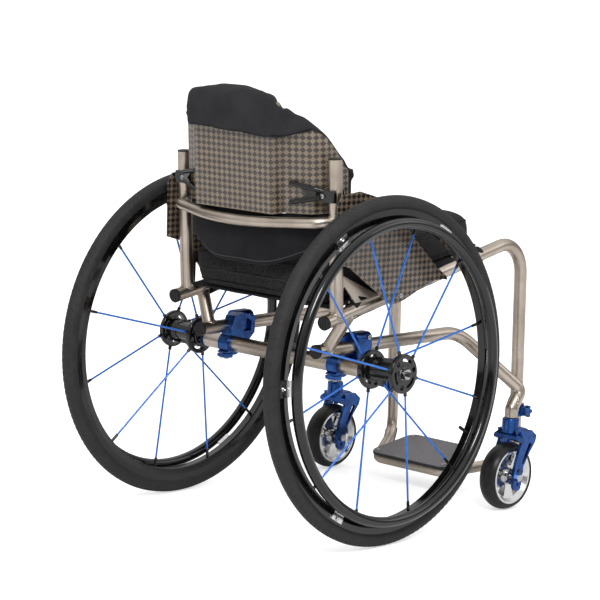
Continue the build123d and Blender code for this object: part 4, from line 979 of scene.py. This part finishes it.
def rear_tyre(side, word):
    """Rear tyre with its moulded tread."""
    matrix = wheel_matrix(side, word)
    steps, sides = TREAD_BLOCKS * 9, 44
    loops = []
    for i in range(steps):
        turn = 2 * pi * i / steps
        way = Vector((cos(turn), sin(turn), 0))
        loop = []
        for k in range(sides):
            angle = 2 * pi * k / sides
            across = TYRE_R * sin(angle)
            r = TYRE_R - (tread_depth(turn, across) if cos(angle) > 0 else 0)
            loop.append(matrix @ (way * (RING_R + r * cos(angle)) + Vector((0, 0, r * sin(angle)))))
        loops.append(loop)
    tyre = new_piece(f"tyre_{word}", *loft(loops, closed=True), "tyre_rubber", f"wheel_{word}", "tyre_rubber")
    outward(tyre)
    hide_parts(f"rear_tyre_{word}")


TYRE_R = 0.014
RING_R = 0.292
TREAD_BLOCKS = 150
rear_tyre(1, "left")
rear_tyre(-1, "right")


# ---- weld beads --------------------------------------------------------------------------------
def seam(start, direction, radius, main_point, main_direction, main_radius):
    """Closed line where the surface of a tube leaves the surface of the tube it is welded to."""
    direction, main_direction = direction.normalized(), main_direction.normalized()
    side = direction.orthogonal().normalized()
    up = direction.cross(side)
    path = []
    for k in range(72):
        angle = 2 * pi * k / 72
        p = start + (side * cos(angle) + up * sin(angle)) * radius - main_point
        p -= main_direction * p.dot(main_direction)
        d = direction - main_direction * direction.dot(main_direction)
        a, b, c = d.dot(d), p.dot(d), p.dot(p) - main_radius ** 2
        run = (-b + max(0.0, b * b - a * c) ** 0.5) / a
        path.append(start + (side * cos(angle) + up * sin(angle)) * radius + direction * run)
    return path


def chair_point(side, x, y, z):
    """A point given from the floor under the axle line, in millimetres, on one side of the chair."""
    return Vector((side * x / 1000, AXLE_Y + y / 1000, z / 1000))


def weld_beads(side):
    rail_rear = chair_point(side, 183.2, 94.5, 390.5)
    rail_way = chair_point(side, 155, -484, 501.5) - rail_rear
    low_rear = chair_point(side, 142.5, 67.4, 331.6)
    low_way = chair_point(side, 153, -305, 334) - low_rear
    cane_foot = chair_point(side, 183.5, 66.5, 400)
    brace_top = chair_point(side, 181, 30, 400)
    brace_foot = chair_point(side, 145, 44, 334)
    bar_end = chair_point(side, 183.5, 78, 565)
    bar_way = chair_point(side, 165.6, 110.3, 561.3) - bar_end
    arm_end = chair_point(side, 220.5, -395.5, 190)
    arm_way = chair_point(side, 220.5, -422.5, 222.5) - arm_end
    tube = FRAME_TUBE_R
    seams = [
        seam(cane_foot, BACK_UP, tube, rail_rear, rail_way, tube),
        seam(brace_top, brace_foot - brace_top, 0.0115, rail_rear, rail_way, tube),
        seam(brace_foot, brace_top - brace_foot, 0.0115, low_rear, low_way, tube),
        seam(bar_end, bar_way, 0.0095, cane_foot, BACK_UP, tube),
        seam(arm_end, arm_way, tube, arm_end, Vector((0, 0, 1)), tube),
    ]
    return [cord(path, 0.0019, True, 8, lambda i: 0.86 + 0.26 * abs(sin(i * pi / 3))) for path in seams]


beads = new_piece("weld_beads", *joined(weld_beads(1) + weld_beads(-1)), "weld", "frame", "titanium")
outward(beads)


# ---- studio ------------------------------------------------------------------------------------
def studio():
    world = bpy.data.worlds.new("studio")
    bpy.context.scene.world = world
    world.use_nodes = True
    sky = world.node_tree
    sky.nodes["Background"].inputs["Color"].default_value = (1, 1, 1, 1)
    place = sky.nodes.new("ShaderNodeTexCoord")
    axes = sky.nodes.new("ShaderNodeSeparateXYZ")
    ceiling = sky.nodes.new("ShaderNodeMapRange")
    ceiling.inputs["From Min"].default_value = 0.05
    ceiling.inputs["From Max"].default_value = 0.75
    ceiling.inputs["To Min"].default_value = 0.12
    ceiling.inputs["To Max"].default_value = 1.0
    seen = sky.nodes.new("ShaderNodeLightPath")
    choose = sky.nodes.new("ShaderNodeMix")
    choose.inputs["B"].default_value = 1.06
    sky.links.new(place.outputs["Generated"], axes.inputs[0])
    sky.links.new(axes.outputs["Z"], ceiling.inputs["Value"])
    sky.links.new(ceiling.outputs["Result"], choose.inputs["A"])
    sky.links.new(seen.outputs["Is Camera Ray"], choose.inputs["Factor"])
    sky.links.new(choose.outputs["Result"], sky.nodes["Background"].inputs["Strength"])
    bpy.context.scene.view_settings.view_transform = "Standard"
    mesh = bpy.data.meshes.new("floor")
    half = 60
    corners = [(-half, -half, 0), (half, -half, 0), (half, half, 0), (-half, half, 0)]
    mesh.from_pydata(corners, [], [(0, 1, 2, 3)])
    floor = bpy.data.objects.new("floor", mesh)
    floor.location.z = -0.0005
    bpy.context.collection.objects.link(floor)
    white = Tree("floor_paint", (0.95, 0.95, 0.95, 1), 0.7)
    white.set("Roughness", white.ramp(white.noise(3), 0, 1, 0.65, 0.8))
    seen = white.add("ShaderNodeLightPath").outputs["Is Camera Ray"]
    white.set("Emission Color", (1, 1, 1, 1))
    white.set("Emission Strength", white.math("MULTIPLY", seen, 0.55))
    mesh.materials.append(white.material)


def lamp(name, place, target, size, power):
    data = bpy.data.lights.new(name, "AREA")
    data.size = size
    data.energy = power
    light = bpy.data.objects.new(name, data)
    light.location = place
    light.rotation_euler = (Vector(target) - Vector(place)).to_track_quat("-Z", "Y").to_euler()
    bpy.context.collection.objects.link(light)


def camera():
    """The eye stands behind the chair's right rear wheel, a little above the hubs."""
    azimuth, elevation, roll = radians(222.9), radians(8.61), radians(2.35)
    distance, focal = 4.172, 139.6
    target = Vector((0, AXLE_Y + 0.008, 0.394))
    back = Vector((sin(azimuth) * cos(elevation), -cos(azimuth) * cos(elevation), sin(elevation)))
    data = bpy.data.cameras.new("camera")
    data.lens = focal
    data.sensor_width = 36
    data.shift_x = 0.0298
    data.shift_y = 0.0045
    cam = bpy.data.objects.new("camera", data)
    cam.location = target + back * distance
    cam.rotation_mode = "QUATERNION"
    turn = Matrix.Rotation(roll, 4, back).to_quaternion()
    cam.rotation_quaternion = turn @ (-back).to_track_quat("-Z", "Y")
    bpy.context.collection.objects.link(cam)
    bpy.context.scene.camera = cam


studio()
lamp("key", (-2.6, 2.2, 3.2), (0, 0, 0.4), 1.2, 85)
lamp("fill", (1.5, 3.6, 1.6), (0, 0, 0.4), 2.0, 8)
lamp("front", (-2.5, -2.8, 2.2), (0, 0, 0.4), 1.8, 12)
camera()
